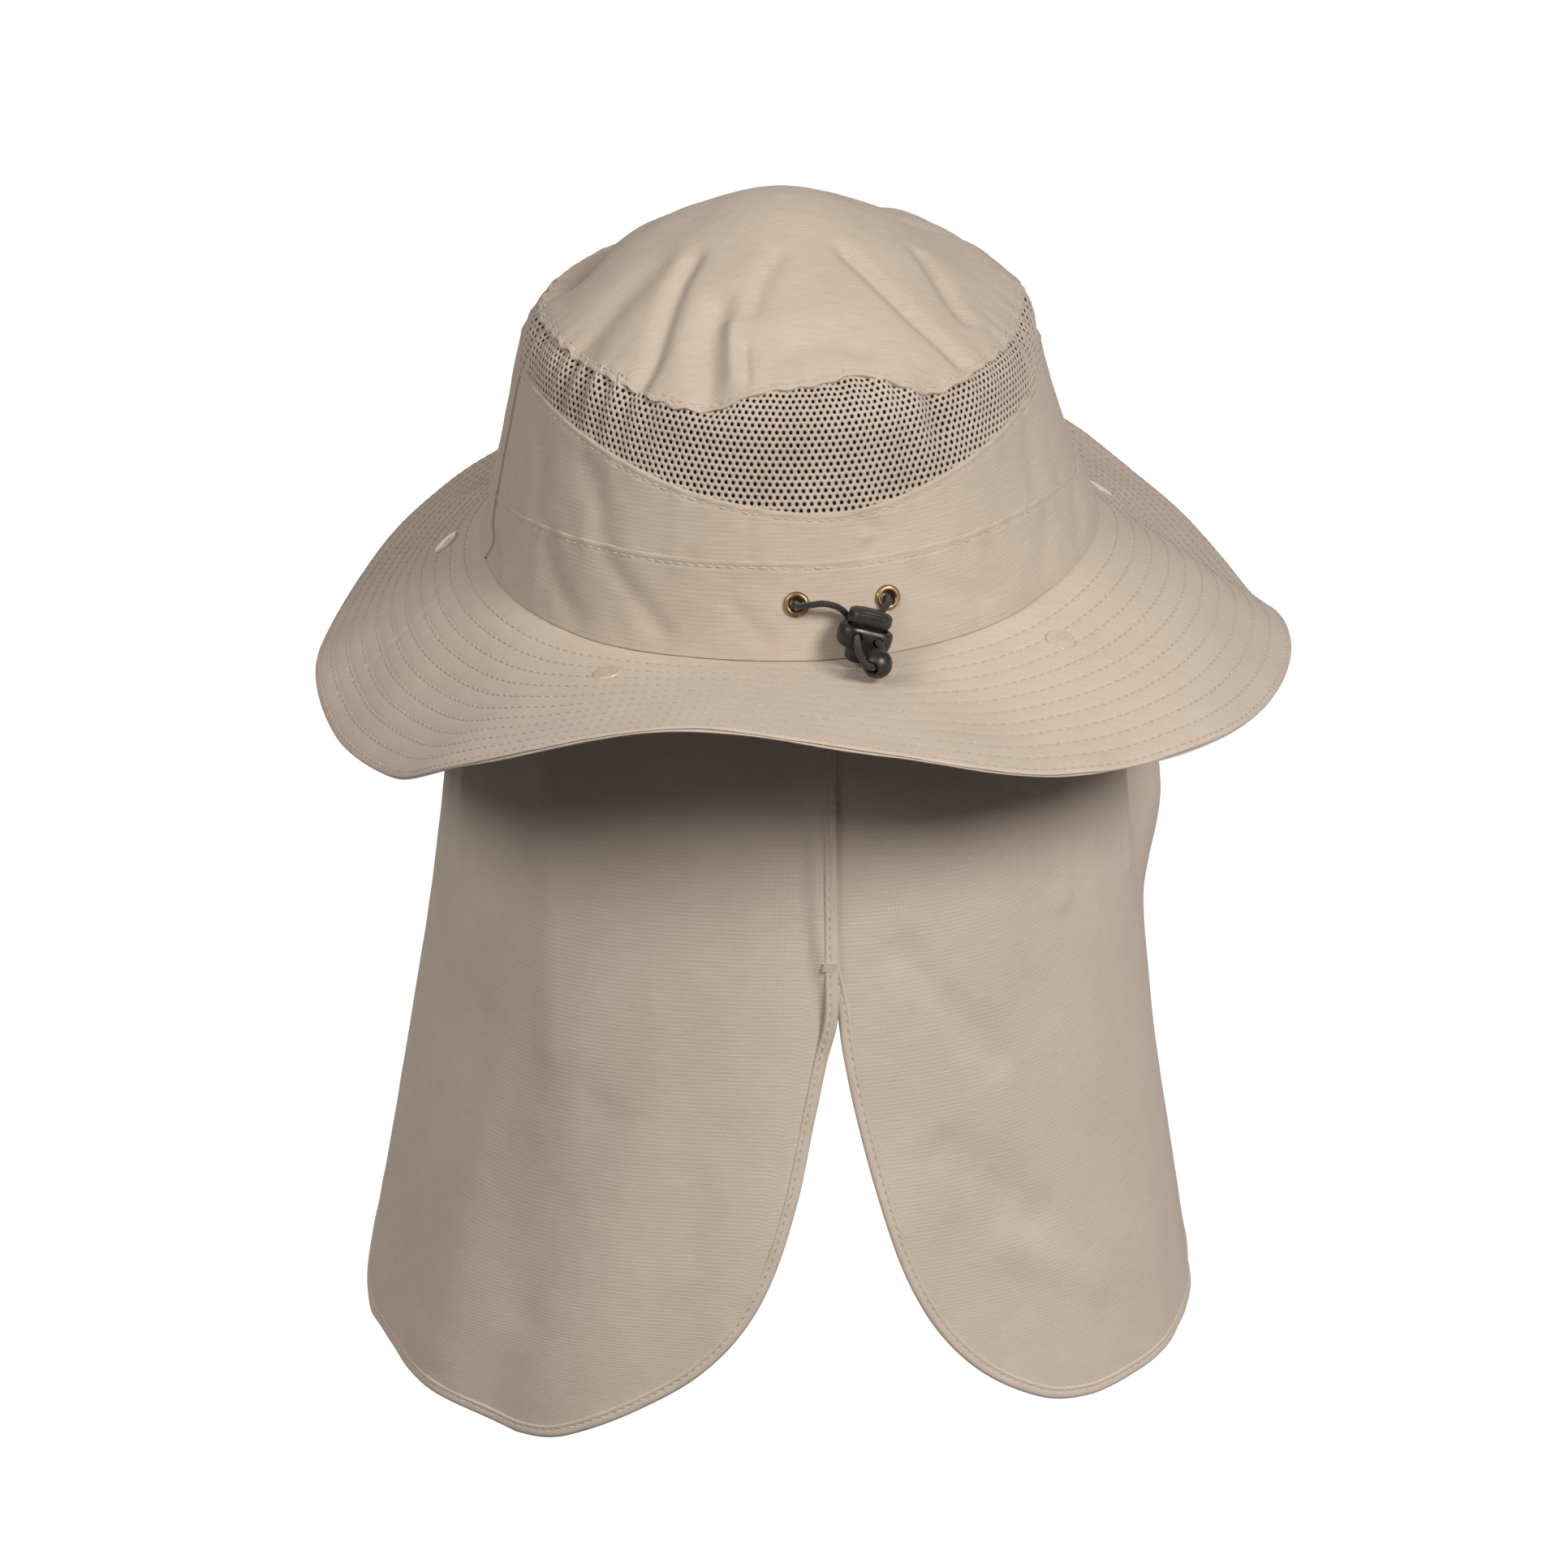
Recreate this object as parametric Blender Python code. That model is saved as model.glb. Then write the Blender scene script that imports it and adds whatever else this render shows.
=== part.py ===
"""A fishing hat with a neck cape.

A soft bucket crown with a mesh window at its back, a brim all round, a draw cord with a cord lock
at the back, and a cape in two panels that hangs from four snaps under the brim.

The head opening lies on the XY plane with its middle at the origin. +Y is the front, +Z is up.
An azimuth is counted in degrees from the middle of the back, turning towards +X. Rows of the tables
hold lengths as shares of the named size that their comment gives.
"""

import math

import bmesh
import bpy
from mathutils import Matrix, Vector

MM = 0.001

# Crown
CROWN_HALF_DEPTH = 101 * MM
CROWN_HALF_WIDTH = 93.5 * MM
CROWN_HEIGHT = 108 * MM
CROWN_LEAN = 2.6 * MM
CROWN_WALL = 1.2 * MM
BAND_WALL = 2.6 * MM
SEAM_GAP = 0.3 * MM
SIDE_SEAM_AZIMUTH = 88
MESH_TIP_AZIMUTH = 126
CROWN_STEP = 6
LEVEL_WAY = 0.06

# Way up the crown's side and over its top, its height and its reach from the axis
# (shares of the whole way, of CROWN_HEIGHT and of the head opening's reach)
CROWN_PROFILE = (
    (0.00, 0.000, 1.000),
    (0.10, 0.130, 0.959),
    (0.20, 0.260, 0.919),
    (0.30, 0.385, 0.880),
    (0.40, 0.510, 0.841),
    (0.50, 0.630, 0.794),
    (0.58, 0.710, 0.700),
    (0.66, 0.790, 0.566),
    (0.75, 0.870, 0.410),
    (0.84, 0.930, 0.266),
    (0.92, 0.978, 0.130),
    (1.00, 1.000, 0.000),
)

# Azimuth, height of the lower band's top, of the mesh's lower seam and of the top piece's seam
# (shares of CROWN_HEIGHT); past the mesh's tips the last two run as one
SEAM_LINES = (
    (-180, 0.23, 0.655, 0.655),
    (-150, 0.21, 0.655, 0.655),
    (-126, 0.19, 0.635, 0.655),
    (-100, 0.17, 0.540, 0.660),
    (-80, 0.18, 0.525, 0.670),
    (-62, 0.205, 0.505, 0.665),
    (-45, 0.225, 0.465, 0.655),
    (-27, 0.24, 0.415, 0.638),
    (-13, 0.25, 0.387, 0.684),
    (0, 0.25, 0.372, 0.700),
    (11, 0.255, 0.386, 0.710),
    (27, 0.26, 0.432, 0.650),
    (43, 0.265, 0.478, 0.660),
    (58, 0.25, 0.510, 0.665),
    (75, 0.22, 0.535, 0.672),
    (100, 0.20, 0.550, 0.665),
    (126, 0.21, 0.635, 0.655),
    (150, 0.22, 0.655, 0.655),
    (180, 0.23, 0.655, 0.655),
)

# Where a soft fold starts and ends, as azimuth and height, its half width and its depth
# (shares of CROWN_HEIGHT)
CROWN_FOLDS = (
    (-62, 0.87, -64, 0.69, 0.06, 0.016),
    (-49, 0.86, -42, 0.67, 0.05, 0.022),
    (-31, 0.80, -24, 0.67, 0.06, 0.030),
    (-4, 0.78, 14, 0.775, 0.06, 0.018),
    (33, 0.92, 34, 0.72, 0.055, 0.022),
    (66, 0.87, 55, 0.73, 0.05, 0.018),
    (27, 0.65, 27, 0.56, 0.06, 0.018),
    (-88, 0.14, -92, 0.03, 0.05, 0.016),
)
FOLD_POINTS = 6

# Brim
BRIM_WIDTH = 70 * MM
BRIM_WALL = 2 * MM
BRIM_STEP = 6
JOIN_WAVE = 8 * MM

# Azimuth and the brim's fall in degrees
BRIM_SLOPES = (
    (-180, 14),
    (-150, 24),
    (-120, 39),
    (-100, 36),
    (-80, 17),
    (-61, 27),
    (-42, 11),
    (-20, -6),
    (0, -2),
    (20, 11),
    (42, 18),
    (62, 26),
    (82, 26),
    (99, 34),
    (120, 28),
    (150, 12),
    (180, 14),
)

# Azimuth and the height of the join of crown and brim (share of JOIN_WAVE)
JOIN_LINE = (
    (-180, 0.0),
    (-120, -0.1),
    (-50, -0.4),
    (-20, -0.05),
    (5, 0.1),
    (30, 0.35),
    (55, 0.9),
    (78, 0.9),
    (105, 0.4),
    (140, 0.1),
    (180, 0.0),
)

# The brim's rows, as shares of BRIM_WIDTH from the join to the edge
BRIM_ROWS = (0, 0.15, 0.34, 0.56, 0.78, 1)

# Snaps that hold the cape under the brim
SNAP_AZIMUTHS = (-108, -36, 36, 108)
SNAP_REACH = 16 * MM
SNAP_CAP_RADIUS = 4.5 * MM
SNAP_CAP_HEIGHT = 1.8 * MM
SNAP_SOCKET_RADIUS = 3.7 * MM
SNAP_SOCKET_HEIGHT = 1.4 * MM
SNAP_POST_RADIUS = 1.6 * MM
SNAP_SIDES = 12
SEAT_GAP = 0.35 * MM
CAPE_SEAT_GAP = 0.6 * MM

# Cape
CAPE_WALL = 1 * MM
CAPE_DROP = 257 * MM
CAPE_FLANGE = 18 * MM
CAPE_LAP = 6.5 * MM
CAPE_SIDE_FLARE = 30 * MM
CAPE_BACK_FLARE = 22 * MM
CAPE_FLARE_CURVE = 1.5

# Way down the cape, how far the left and the right panel's centre edges lie to their own side of
# the middle (shares of CAPE_DROP), the azimuth of the front edges, and how far the right panel's
# front corner stands out (share of CAPE_DROP)
CAPE_EDGES = (
    (0.00, 0.014, -0.012, 116, 0.000),
    (0.10, 0.014, -0.012, 115, 0.025),
    (0.25, 0.014, -0.012, 113, 0.065),
    (0.38, 0.014, -0.012, 111, 0.092),
    (0.46, 0.024, -0.010, 110, 0.085),
    (0.55, 0.041, 0.008, 108, 0.055),
    (0.65, 0.062, 0.031, 106, 0.030),
    (0.75, 0.096, 0.062, 105, 0.012),
    (0.82, 0.138, 0.095, 104.5, 0.006),
    (0.88, 0.200, 0.138, 104, 0.000),
    (0.93, 0.280, 0.190, 103, 0.000),
    (0.97, 0.355, 0.255, 101, 0.000),
    (1.00, 0.430, 0.345, 97, 0.000),
)
RIGHT_CAPE_DROP_SHARE = 0.945
CAPE_CORNER_TURN = 20

# Way down the cape of each row of points below its bend
CAPE_ROWS = (0.02, 0.12, 0.24, 0.36, 0.47, 0.58, 0.68, 0.77, 0.85, 0.91, 0.96, 1)

# Azimuth of a fold down the cape, its half width in degrees, how far down it starts, its depth at
# the hem (share of CAPE_DROP)
CAPE_FOLDS = (
    (-76, 7, 0.05, -0.014),
    (-60, 10, 0.20, 0.014),
    (-22, 14, 0.15, -0.010),
    (30, 14, 0.20, -0.010),
    (58, 10, 0.10, 0.012),
    (84, 8, 0.05, -0.010),
)

# Eyelets and draw cord
EYELET_AZIMUTHS = (-7, 9)
EYELET_HEIGHT = 16 * MM
EYELET_RADIUS = 3.75 * MM
EYELET_HOLE_RADIUS = 2 * MM
EYELET_METAL = 0.45 * MM
EYELET_ROLL = 0.95 * MM
EYELET_BARREL = 1.6 * MM
EYELET_SIDES = 16
POCKET_DEPTH = 2 * MM
CORD_DIAMETER = 2 * MM
CORD_STEP = 1.9 * MM

# The draw cord's way in millimetres: from inside the left eyelet to the lock's left hole, through
# the ball, back through the right hole and into the right eyelet
CORD_ROUTE = (
    (-11.9, -94.1, 16.0),
    (-12.2, -96.4, 16.1),
    (-11.6, -99.0, 16.9),
    (-9.0, -101.3, 18.1),
    (-5.6, -102.0, 18.6),
    (-2.2, -101.6, 17.6),
    (0.4, -100.4, 15.6),
    (2.0, -99.9, 13.4),
    (2.9, -100.7, 11.6),
    (3.15, -103.0, 11.1),
    (3.15, -106.5, 11.06),
    (3.1, -110.5, 11.1),
    (2.7, -114.2, 11.2),
    (2.3, -118.0, 10.7),
    (2.7, -121.3, 9.3),
    (4.1, -123.2, 7.6),
    (5.9, -122.2, 6.5),
    (7.7, -119.3, 6.3),
    (9.4, -116.5, 6.3),
    (10.3, -114.3, 7.1),
    (10.1, -112.4, 8.5),
    (9.4, -110.4, 9.1),
    (9.25, -108.0, 9.14),
    (9.25, -104.5, 9.14),
    (9.4, -101.6, 9.4),
    (10.1, -99.9, 11.0),
    (11.3, -99.5, 13.0),
    (13.0, -99.2, 14.8),
    (14.4, -97.9, 15.8),
    (14.9, -95.8, 16.0),
    (14.6, -93.8, 16.0),
)

# Cord lock and ball
LOCK_PLACE = Vector((6.2, -106.5, 10.1)) * MM
LOCK_AXIS = Vector((0.30, 0.08, 0.95))
LOCK_HALF_WIDTH = 8.2 * MM
LOCK_HALF_DEPTH = 4.6 * MM
LOCK_HALF_HEIGHT = 8.4 * MM
LOCK_HOLE_SPACING = 6.4 * MM
LOCK_SIDES = 20
BALL_PLACE = Vector((7.7, -119.3, 6.3)) * MM
BALL_BORE = Vector((0.53, 0.85, -0.02))
BALL_RADIUS = 4.4 * MM
BALL_CLEARANCE = 0.9 * MM
CORD_CLEARANCE = 0.5 * MM

# The lock from its foot to its button's top: height, half width and half depth
# (shares of LOCK_HALF_HEIGHT, LOCK_HALF_WIDTH and LOCK_HALF_DEPTH)
LOCK_SECTIONS = (
    (-1.00, 0.42, 0.55),
    (-0.93, 0.50, 0.66),
    (-0.55, 0.55, 0.74),
    (-0.45, 0.80, 0.86),
    (-0.34, 0.94, 0.96),
    (-0.10, 1.00, 1.00),
    (0.16, 0.97, 0.97),
    (0.28, 0.84, 0.88),
    (0.31, 0.62, 0.68),
    (0.40, 0.62, 0.68),
    (0.43, 0.78, 0.84),
    (0.66, 0.80, 0.86),
    (0.86, 0.74, 0.78),
    (0.92, 0.66, 0.70),
)


def smooth_table(rows, column, wraps=False):
    """A function that reads a smooth curve through one column of a table, by its first column."""
    xs = [row[0] for row in rows]
    ys = [row[column] for row in rows]
    if wraps:
        xs = [xs[-2] - 360] + xs + [xs[1] + 360]
        ys = [ys[-2]] + ys + [ys[1]]
    slopes = []
    for i in range(len(xs)):
        before, after = max(i - 1, 0), min(i + 1, len(xs) - 1)
        slopes.append((ys[after] - ys[before]) / (xs[after] - xs[before]))

    def read(x):
        x = min(max(x, xs[0]), xs[-1])
        i = max(k for k in range(len(xs) - 1) if xs[k] <= x)
        span = xs[i + 1] - xs[i]
        t = (x - xs[i]) / span
        start = ys[i] * (1 + 2 * t) * (1 - t) ** 2 + slopes[i] * span * t * (1 - t) ** 2
        end = ys[i + 1] * t * t * (3 - 2 * t) - slopes[i + 1] * span * t * t * (1 - t)
        return start + end

    return read


def ease(x):
    """0 below 0, 1 above 1, and a smooth rise between."""
    x = min(max(x, 0), 1)
    return x * x * (3 - 2 * x)


def outward(azimuth):
    turn = math.radians(azimuth)
    return Vector((math.sin(turn), -math.cos(turn), 0))


def even_steps(start, end, count):
    return [start + (end - start) * i / count for i in range(count + 1)]


def round_the_hat(step):
    return even_steps(-180, 180 - step, round(360 / step) - 1)


def head_reach(azimuth):
    """How far the edge of the head opening is from the axis."""
    turn = math.radians(azimuth)
    return 1 / math.hypot(math.sin(turn) / CROWN_HALF_WIDTH, math.cos(turn) / CROWN_HALF_DEPTH)


crown_height_share = smooth_table(CROWN_PROFILE, 1)
crown_reach_share = smooth_table(CROWN_PROFILE, 2)
band_top = smooth_table(SEAM_LINES, 1, wraps=True)
mesh_sill = smooth_table(SEAM_LINES, 2, wraps=True)
top_seam = smooth_table(SEAM_LINES, 3, wraps=True)
brim_slope = smooth_table(BRIM_SLOPES, 1, wraps=True)
join_share = smooth_table(JOIN_LINE, 1, wraps=True)
left_edge_share = smooth_table(CAPE_EDGES, 1)
right_edge_share = smooth_table(CAPE_EDGES, 2)
front_edge_azimuth = smooth_table(CAPE_EDGES, 3)
corner_flare_share = smooth_table(CAPE_EDGES, 4)


def way_to_height(share):
    """The way up the crown at which its height is this share of CROWN_HEIGHT."""
    low, high = 0.0, 1.0
    for _ in range(30):
        middle = (low + high) / 2
        if crown_height_share(middle) < share:
            low = middle
        else:
            high = middle
    return low


def crown_skin(azimuth, way):
    """A point on the crown's outer surface, before its folds."""
    height = crown_height_share(way)
    place = outward(azimuth) * head_reach(azimuth) * crown_reach_share(way)
    place.x -= CROWN_LEAN * ease(height / 0.55)
    place.z = CROWN_HEIGHT * height + JOIN_WAVE * join_share(azimuth) * (1 - ease(height / 0.25))
    return place


def crown_normal(azimuth, way):
    """The crown's outward normal, which levels out at the head opening and at the very top."""
    if way > 0.985:
        return Vector((0, 0, 1))
    across = crown_skin(azimuth + 1, way) - crown_skin(azimuth - 1, way)
    up = crown_skin(azimuth, way + 0.01) - crown_skin(azimuth, max(way - 0.01, 0))
    normal = across.cross(up).normalized()
    normal.z *= ease(way / LEVEL_WAY)
    return normal.normalized()


def fold_paths():
    """Each fold's line of points on the crown, with its half width and depth."""
    paths = []
    for start, start_height, end, end_height, width, depth in CROWN_FOLDS:
        points = []
        for t in even_steps(0, 1, FOLD_POINTS - 1):
            height = start_height + (end_height - start_height) * t
            points.append(crown_skin(start + (end - start) * t, way_to_height(height)))
        paths.append((points, width * CROWN_HEIGHT, depth * CROWN_HEIGHT))
    return paths


FOLD_PATHS = fold_paths()


def fold_depth(place):
    """How far the cloth dips at this place of the crown."""
    depth = 0
    for points, width, deepest in FOLD_PATHS:
        nearest = min(distance_to_line(place, a, b) for a, b in zip(points, points[1:]))
        depth += deepest * math.exp(-((nearest / width) ** 2))
    return depth


def distance_to_line(place, start, end):
    line = end - start
    share = min(max((place - start).dot(line) / line.length_squared, 0), 1)
    return (place - start - line * share).length


def crown_place(azimuth, way, depth=0):
    """A point this deep under the crown's outer surface, with the folds."""
    skin = crown_skin(azimuth, way)
    return skin - crown_normal(azimuth, way) * (depth + fold_depth(skin))


def way_beside_seam(azimuth, height_share, side):
    """The way up the crown of a panel's edge, half a seam gap above (1) or below (-1) a seam."""
    way = way_to_height(height_share)
    speed = (crown_skin(azimuth, way + 0.01) - crown_skin(azimuth, way - 0.01)).length / 0.02
    return way + side * SEAM_GAP / 2 / speed


def brim_skin(azimuth, run):
    """A point on the brim's upper face, this far out from the join; below 0 it is under the band."""
    slope = math.radians(brim_slope(azimuth))
    out = max(run, 0)
    place = outward(azimuth) * (head_reach(azimuth) + min(run, 0) + out * math.cos(slope))
    rise = JOIN_WAVE * join_share(azimuth) * (1 - out / BRIM_WIDTH)
    place.z = rise - SEAM_GAP - out * math.sin(slope)
    return place


def brim_normal(azimuth, run):
    nudge = 0.5 * MM
    across = brim_skin(azimuth + 1, run) - brim_skin(azimuth - 1, run)
    out = brim_skin(azimuth, run + nudge) - brim_skin(azimuth, run - nudge)
    return out.cross(across).normalized()


def brim_place(azimuth, run, depth=0):
    return brim_skin(azimuth, run) - brim_normal(azimuth, run) * depth


def colour(red, green, blue):
    """A linear colour from screen values of 0 to 255."""
    linear = [((c / 255 + 0.055) / 1.055) ** 2.4 if c > 10 else c / 255 / 12.92 for c in (red, green, blue)]
    return (*linear, 1)


def finish(name, base, roughness, metallic=0):
    material = bpy.data.materials.new(name)
    material.use_nodes = True
    shader = material.node_tree.nodes["Principled BSDF"]
    shader.inputs["Base Color"].default_value = base
    shader.inputs["Roughness"].default_value = roughness
    shader.inputs["Metallic"].default_value = metallic
    return material


def add_object(name, bm, material, matrix=None):
    """Closes off a bmesh as a named object, shaded smooth up to its sharp edges."""
    bmesh.ops.recalc_face_normals(bm, faces=bm.faces)
    mesh = bpy.data.meshes.new(name)
    bm.to_mesh(mesh)
    bm.free()
    mesh.shade_smooth()
    mesh.set_sharp_from_angle(angle=math.radians(40))
    mesh.materials.append(material)
    thing = bpy.data.objects.new(name, mesh)
    if matrix is not None:
        thing.matrix_world = matrix
    bpy.context.scene.collection.objects.link(thing)
    return thing


def add_wall(name, outer, inner, material, closed=False, peak=None):
    """A wall between two grids of points. closed joins its last column to its first, and peak is
    the pair of points in which the columns of a dome meet."""
    bm = bmesh.new()
    skins = [[[bm.verts.new(p) for p in column] for column in grid] for grid in (outer, inner)]
    tips = [bm.verts.new(p) for p in peak] if peak else None
    count = len(outer)
    pairs = [(i, (i + 1) % count) for i in range(count if closed else count - 1)]
    rows = len(outer[0])
    for i, j in pairs:
        for skin in skins:
            for k in range(rows - 1):
                bm.faces.new((skin[i][k], skin[j][k], skin[j][k + 1], skin[i][k + 1]))
        for k in (0,) if peak else (0, rows - 1):
            bm.faces.new((skins[0][i][k], skins[1][i][k], skins[1][j][k], skins[0][j][k]))
        if peak:
            for skin, tip in zip(skins, tips):
                bm.faces.new((skin[i][-1], skin[j][-1], tip))
    if not closed:
        for i in (0, count - 1):
            for k in range(rows - 1):
                corners = (skins[0][i][k], skins[0][i][k + 1], skins[1][i][k + 1], skins[1][i][k])
                bm.faces.new(corners)
    return add_object(name, bm, material)


def add_turned(name, profile, sides, matrix, material, ring=False):
    """A solid turned about its Z axis from (radius, height) points; ring closes the profile."""
    bm = bmesh.new()
    loops = []
    for radius, height in profile:
        if radius == 0:
            loops.append([bm.verts.new((0, 0, height))] * sides)
            continue
        turns = [2 * math.pi * k / sides for k in range(sides)]
        loops.append([bm.verts.new((radius * math.cos(t), radius * math.sin(t), height)) for t in turns])
    pairs = list(zip(loops, loops[1:]))
    if ring:
        pairs.append((loops[-1], loops[0]))
    for first, second in pairs:
        for k in range(sides):
            j = (k + 1) % sides
            corners = (first[k], first[j], second[j], second[k])
            bm.faces.new(list(dict.fromkeys(corners)))
    return add_object(name, bm, material, matrix)


def seat(place, normal, across=Vector((0, 0, 1))):
    """A place with its Z axis along a normal and its X axis square to both directions given."""
    up = normal.normalized()
    side = across.cross(up).normalized()
    return Matrix.Translation(place) @ Matrix((side, up.cross(side), up)).transposed().to_4x4()


def cut(thing, name, matrix, radius, start, end, sides=16):
    """Takes a round hole out of a thing, from start to end along the matrix's Z axis."""
    bm = bmesh.new()
    middle = Matrix.Translation((0, 0, (start + end) / 2))
    bmesh.ops.create_cone(
        bm,
        cap_ends=True,
        segments=sides,
        radius1=radius,
        radius2=radius,
        depth=abs(end - start),
        matrix=middle,
    )
    cutter = add_object(name, bm, thing.data.materials[0], matrix)
    cutter.hide_render = True
    cutter.display_type = "WIRE"
    hole = thing.modifiers.new(name, "BOOLEAN")
    hole.operation = "DIFFERENCE"
    hole.solver = "EXACT"
    hole.object = cutter


def crown_panel(name, azimuths, low, high, rows, wall, material, closed=False):
    """A panel of the crown between two edges, each a function of azimuth that gives a way up."""
    grids = []
    for depth in (0, wall):
        grid = []
        for azimuth in azimuths:
            ways = even_steps(low(azimuth), high(azimuth), rows)
            grid.append([crown_place(azimuth, way, depth) for way in ways])
        grids.append(grid)
    return add_wall(name, *grids, material, closed=closed)


def seam_side(azimuth_sign):
    """A side seam's azimuth and half its gap in degrees, at the side given."""
    gap = math.degrees(SEAM_GAP / 2 / CROWN_HALF_WIDTH / crown_reach_share(0.4))
    return azimuth_sign * SIDE_SEAM_AZIMUTH, gap


def over_seam(line):
    return lambda azimuth: way_beside_seam(azimuth, line(azimuth), 1)


def under_seam(line):
    return lambda azimuth: way_beside_seam(azimuth, line(azimuth), -1)


def azimuths_between(start, end):
    """Azimuths for a panel's columns: its two edges, and the crown's own steps between them."""
    first = math.ceil(start / CROWN_STEP + 0.4)
    last = math.floor(end / CROWN_STEP - 0.4)
    return [start] + [CROWN_STEP * k for k in range(first, last + 1)] + [end]


def back_azimuths():
    right, gap = seam_side(1)
    return azimuths_between(gap - right, right - gap)


def front_azimuths():
    right, gap = seam_side(1)
    return azimuths_between(right + gap, 360 - right - gap)


def turned_in(line):
    """The same line, read for azimuths past 180 too."""
    return lambda azimuth: line((azimuth + 180) % 360 - 180)


def front_top(azimuth):
    """The front panel's upper edge: under the mesh up to its tips, and then under the top piece."""
    if abs(azimuth) < MESH_TIP_AZIMUTH + 1:
        return mesh_sill(azimuth)
    return top_seam(azimuth)


def build_crown(cloth, mesh_cloth):
    bands = []
    for name, azimuths in (("lower_band_back", back_azimuths()), ("lower_band_front", front_azimuths())):
        top = under_seam(turned_in(band_top))
        bands.append(crown_panel(name, azimuths, lambda azimuth: 0, top, 2, BAND_WALL, cloth))
    band_edge = over_seam(turned_in(band_top))
    sill_edge = under_seam(turned_in(mesh_sill))
    crown_panel("crown_back_panel", back_azimuths(), band_edge, sill_edge, 2, CROWN_WALL, cloth)
    front_edge = under_seam(turned_in(front_top))
    crown_panel("crown_front_panel", front_azimuths(), band_edge, front_edge, 4, CROWN_WALL, cloth)
    tips = azimuths_between(-MESH_TIP_AZIMUTH, MESH_TIP_AZIMUTH)
    mesh_low, mesh_high = over_seam(mesh_sill), under_seam(top_seam)
    crown_panel("mesh_insert", tips, mesh_low, mesh_high, 3, CROWN_WALL, mesh_cloth)
    build_top(cloth)
    return bands[0]


def build_top(cloth):
    """The top piece: a dome whose columns meet in the middle of the crown."""
    grids = []
    rings = 6
    for depth in (0, CROWN_WALL):
        grid = []
        for azimuth in round_the_hat(CROWN_STEP):
            ways = even_steps(over_seam(top_seam)(azimuth), 1, rings)[:-1]
            grid.append([crown_place(azimuth, way, depth) for way in ways])
        grids.append(grid)
    peak = [crown_place(0, 1, depth) for depth in (0, CROWN_WALL)]
    add_wall("crown_top", *grids, cloth, closed=True, peak=peak)


def build_brim(cloth):
    runs = [-BAND_WALL] + [share * BRIM_WIDTH for share in BRIM_ROWS]
    azimuths = round_the_hat(BRIM_STEP)
    grids = [
        [[brim_place(azimuth, run, depth) for run in runs] for azimuth in azimuths]
        for depth in (0, BRIM_WALL)
    ]
    return add_wall("brim", *grids, cloth, closed=True)


def hanging_run():
    """How far out along the brim the cape turns down."""
    return SNAP_REACH - CAPE_FLANGE / 2


def hem_height(side):
    return -CAPE_DROP * (1 if side < 0 else RIGHT_CAPE_DROP_SHARE)


def cape_flare(azimuth, down):
    """How far the cape stands out from where it starts, at this azimuth and way down."""
    turn = math.radians(azimuth)
    wide = CAPE_SIDE_FLARE * math.sin(turn) ** 2 + CAPE_BACK_FLARE * math.cos(turn) ** 2
    flare = wide * down**CAPE_FLARE_CURVE
    for middle, half_width, start, depth in CAPE_FOLDS:
        shape = math.exp(-(((azimuth - middle) / half_width) ** 2))
        flare += CAPE_DROP * depth * shape * ease((down - start) / (1 - start))
    corner = front_edge_azimuth(down)
    near_corner = ease((azimuth - corner) / CAPE_CORNER_TURN + 1)
    return flare + CAPE_DROP * corner_flare_share(down) * near_corner


def cape_skin(side, azimuth, down):
    """A point on the inner face of the cape where it hangs."""
    top = brim_place(azimuth, hanging_run(), BRIM_WALL + CAPE_SEAT_GAP)
    flat = Vector((top.x, top.y, 0))
    place = flat + outward(azimuth) * cape_flare(azimuth, down)
    place.z = top.z + (hem_height(side) - top.z) * down
    return place


def centre_azimuth(side, down):
    """The azimuth of a panel's centre edge, this far down."""
    share = (left_edge_share if side < 0 else right_edge_share)(down)
    reach = head_reach(0) + hanging_run() + CAPE_BACK_FLARE * down
    return side * math.degrees(CAPE_DROP * share / reach)


def lap_lift(side, azimuth, down):
    """How far the left panel is lifted off the right one, which runs on under its centre edge."""
    if side > 0:
        return 0
    reach = head_reach(0) + hanging_run()
    past = azimuth - centre_azimuth(1, down)
    return (CAPE_WALL + SEAM_GAP) * ease(past * math.radians(1) * reach / (0.7 * CAPE_LAP) + 1)


def column_shares(side):
    """Where a panel's columns stand between its edges at the top: in line with the brim's own."""
    centre, front = centre_azimuth(side, 0), side * front_edge_azimuth(0)
    first = math.ceil(abs(centre) / BRIM_STEP + 0.5)
    last = math.floor(abs(front) / BRIM_STEP)
    azimuths = [side * BRIM_STEP * k for k in range(first, last + 1)]
    return [0] + [(azimuth - centre) / (front - centre) for azimuth in azimuths] + [1]


def cape_columns(side, down):
    """The azimuths of a panel's columns, this far down."""
    centre, front = centre_azimuth(side, down), side * front_edge_azimuth(down)
    return [centre + (front - centre) * share for share in column_shares(side)]


def cape_grid(side):
    """The panel's inner face: its flange under the brim, its bend, and its hanging rows."""
    out = SNAP_REACH + CAPE_FLANGE / 2
    rows = []
    for run in (out, SNAP_REACH, hanging_run() + 1.6 * MM):
        azimuths = cape_columns(side, 0)
        seats = [BRIM_WALL + CAPE_SEAT_GAP + lap_lift(side, a, 0) for a in azimuths]
        rows.append([brim_place(a, run, depth) for a, depth in zip(azimuths, seats)])
    for down in CAPE_ROWS:
        azimuths = cape_columns(side, down)
        lifts = [lap_lift(side, a, down) for a in azimuths]
        rows.append([cape_skin(side, a, down) + outward(a) * lift for a, lift in zip(azimuths, lifts)])
    return [list(column) for column in zip(*rows)]


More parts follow.
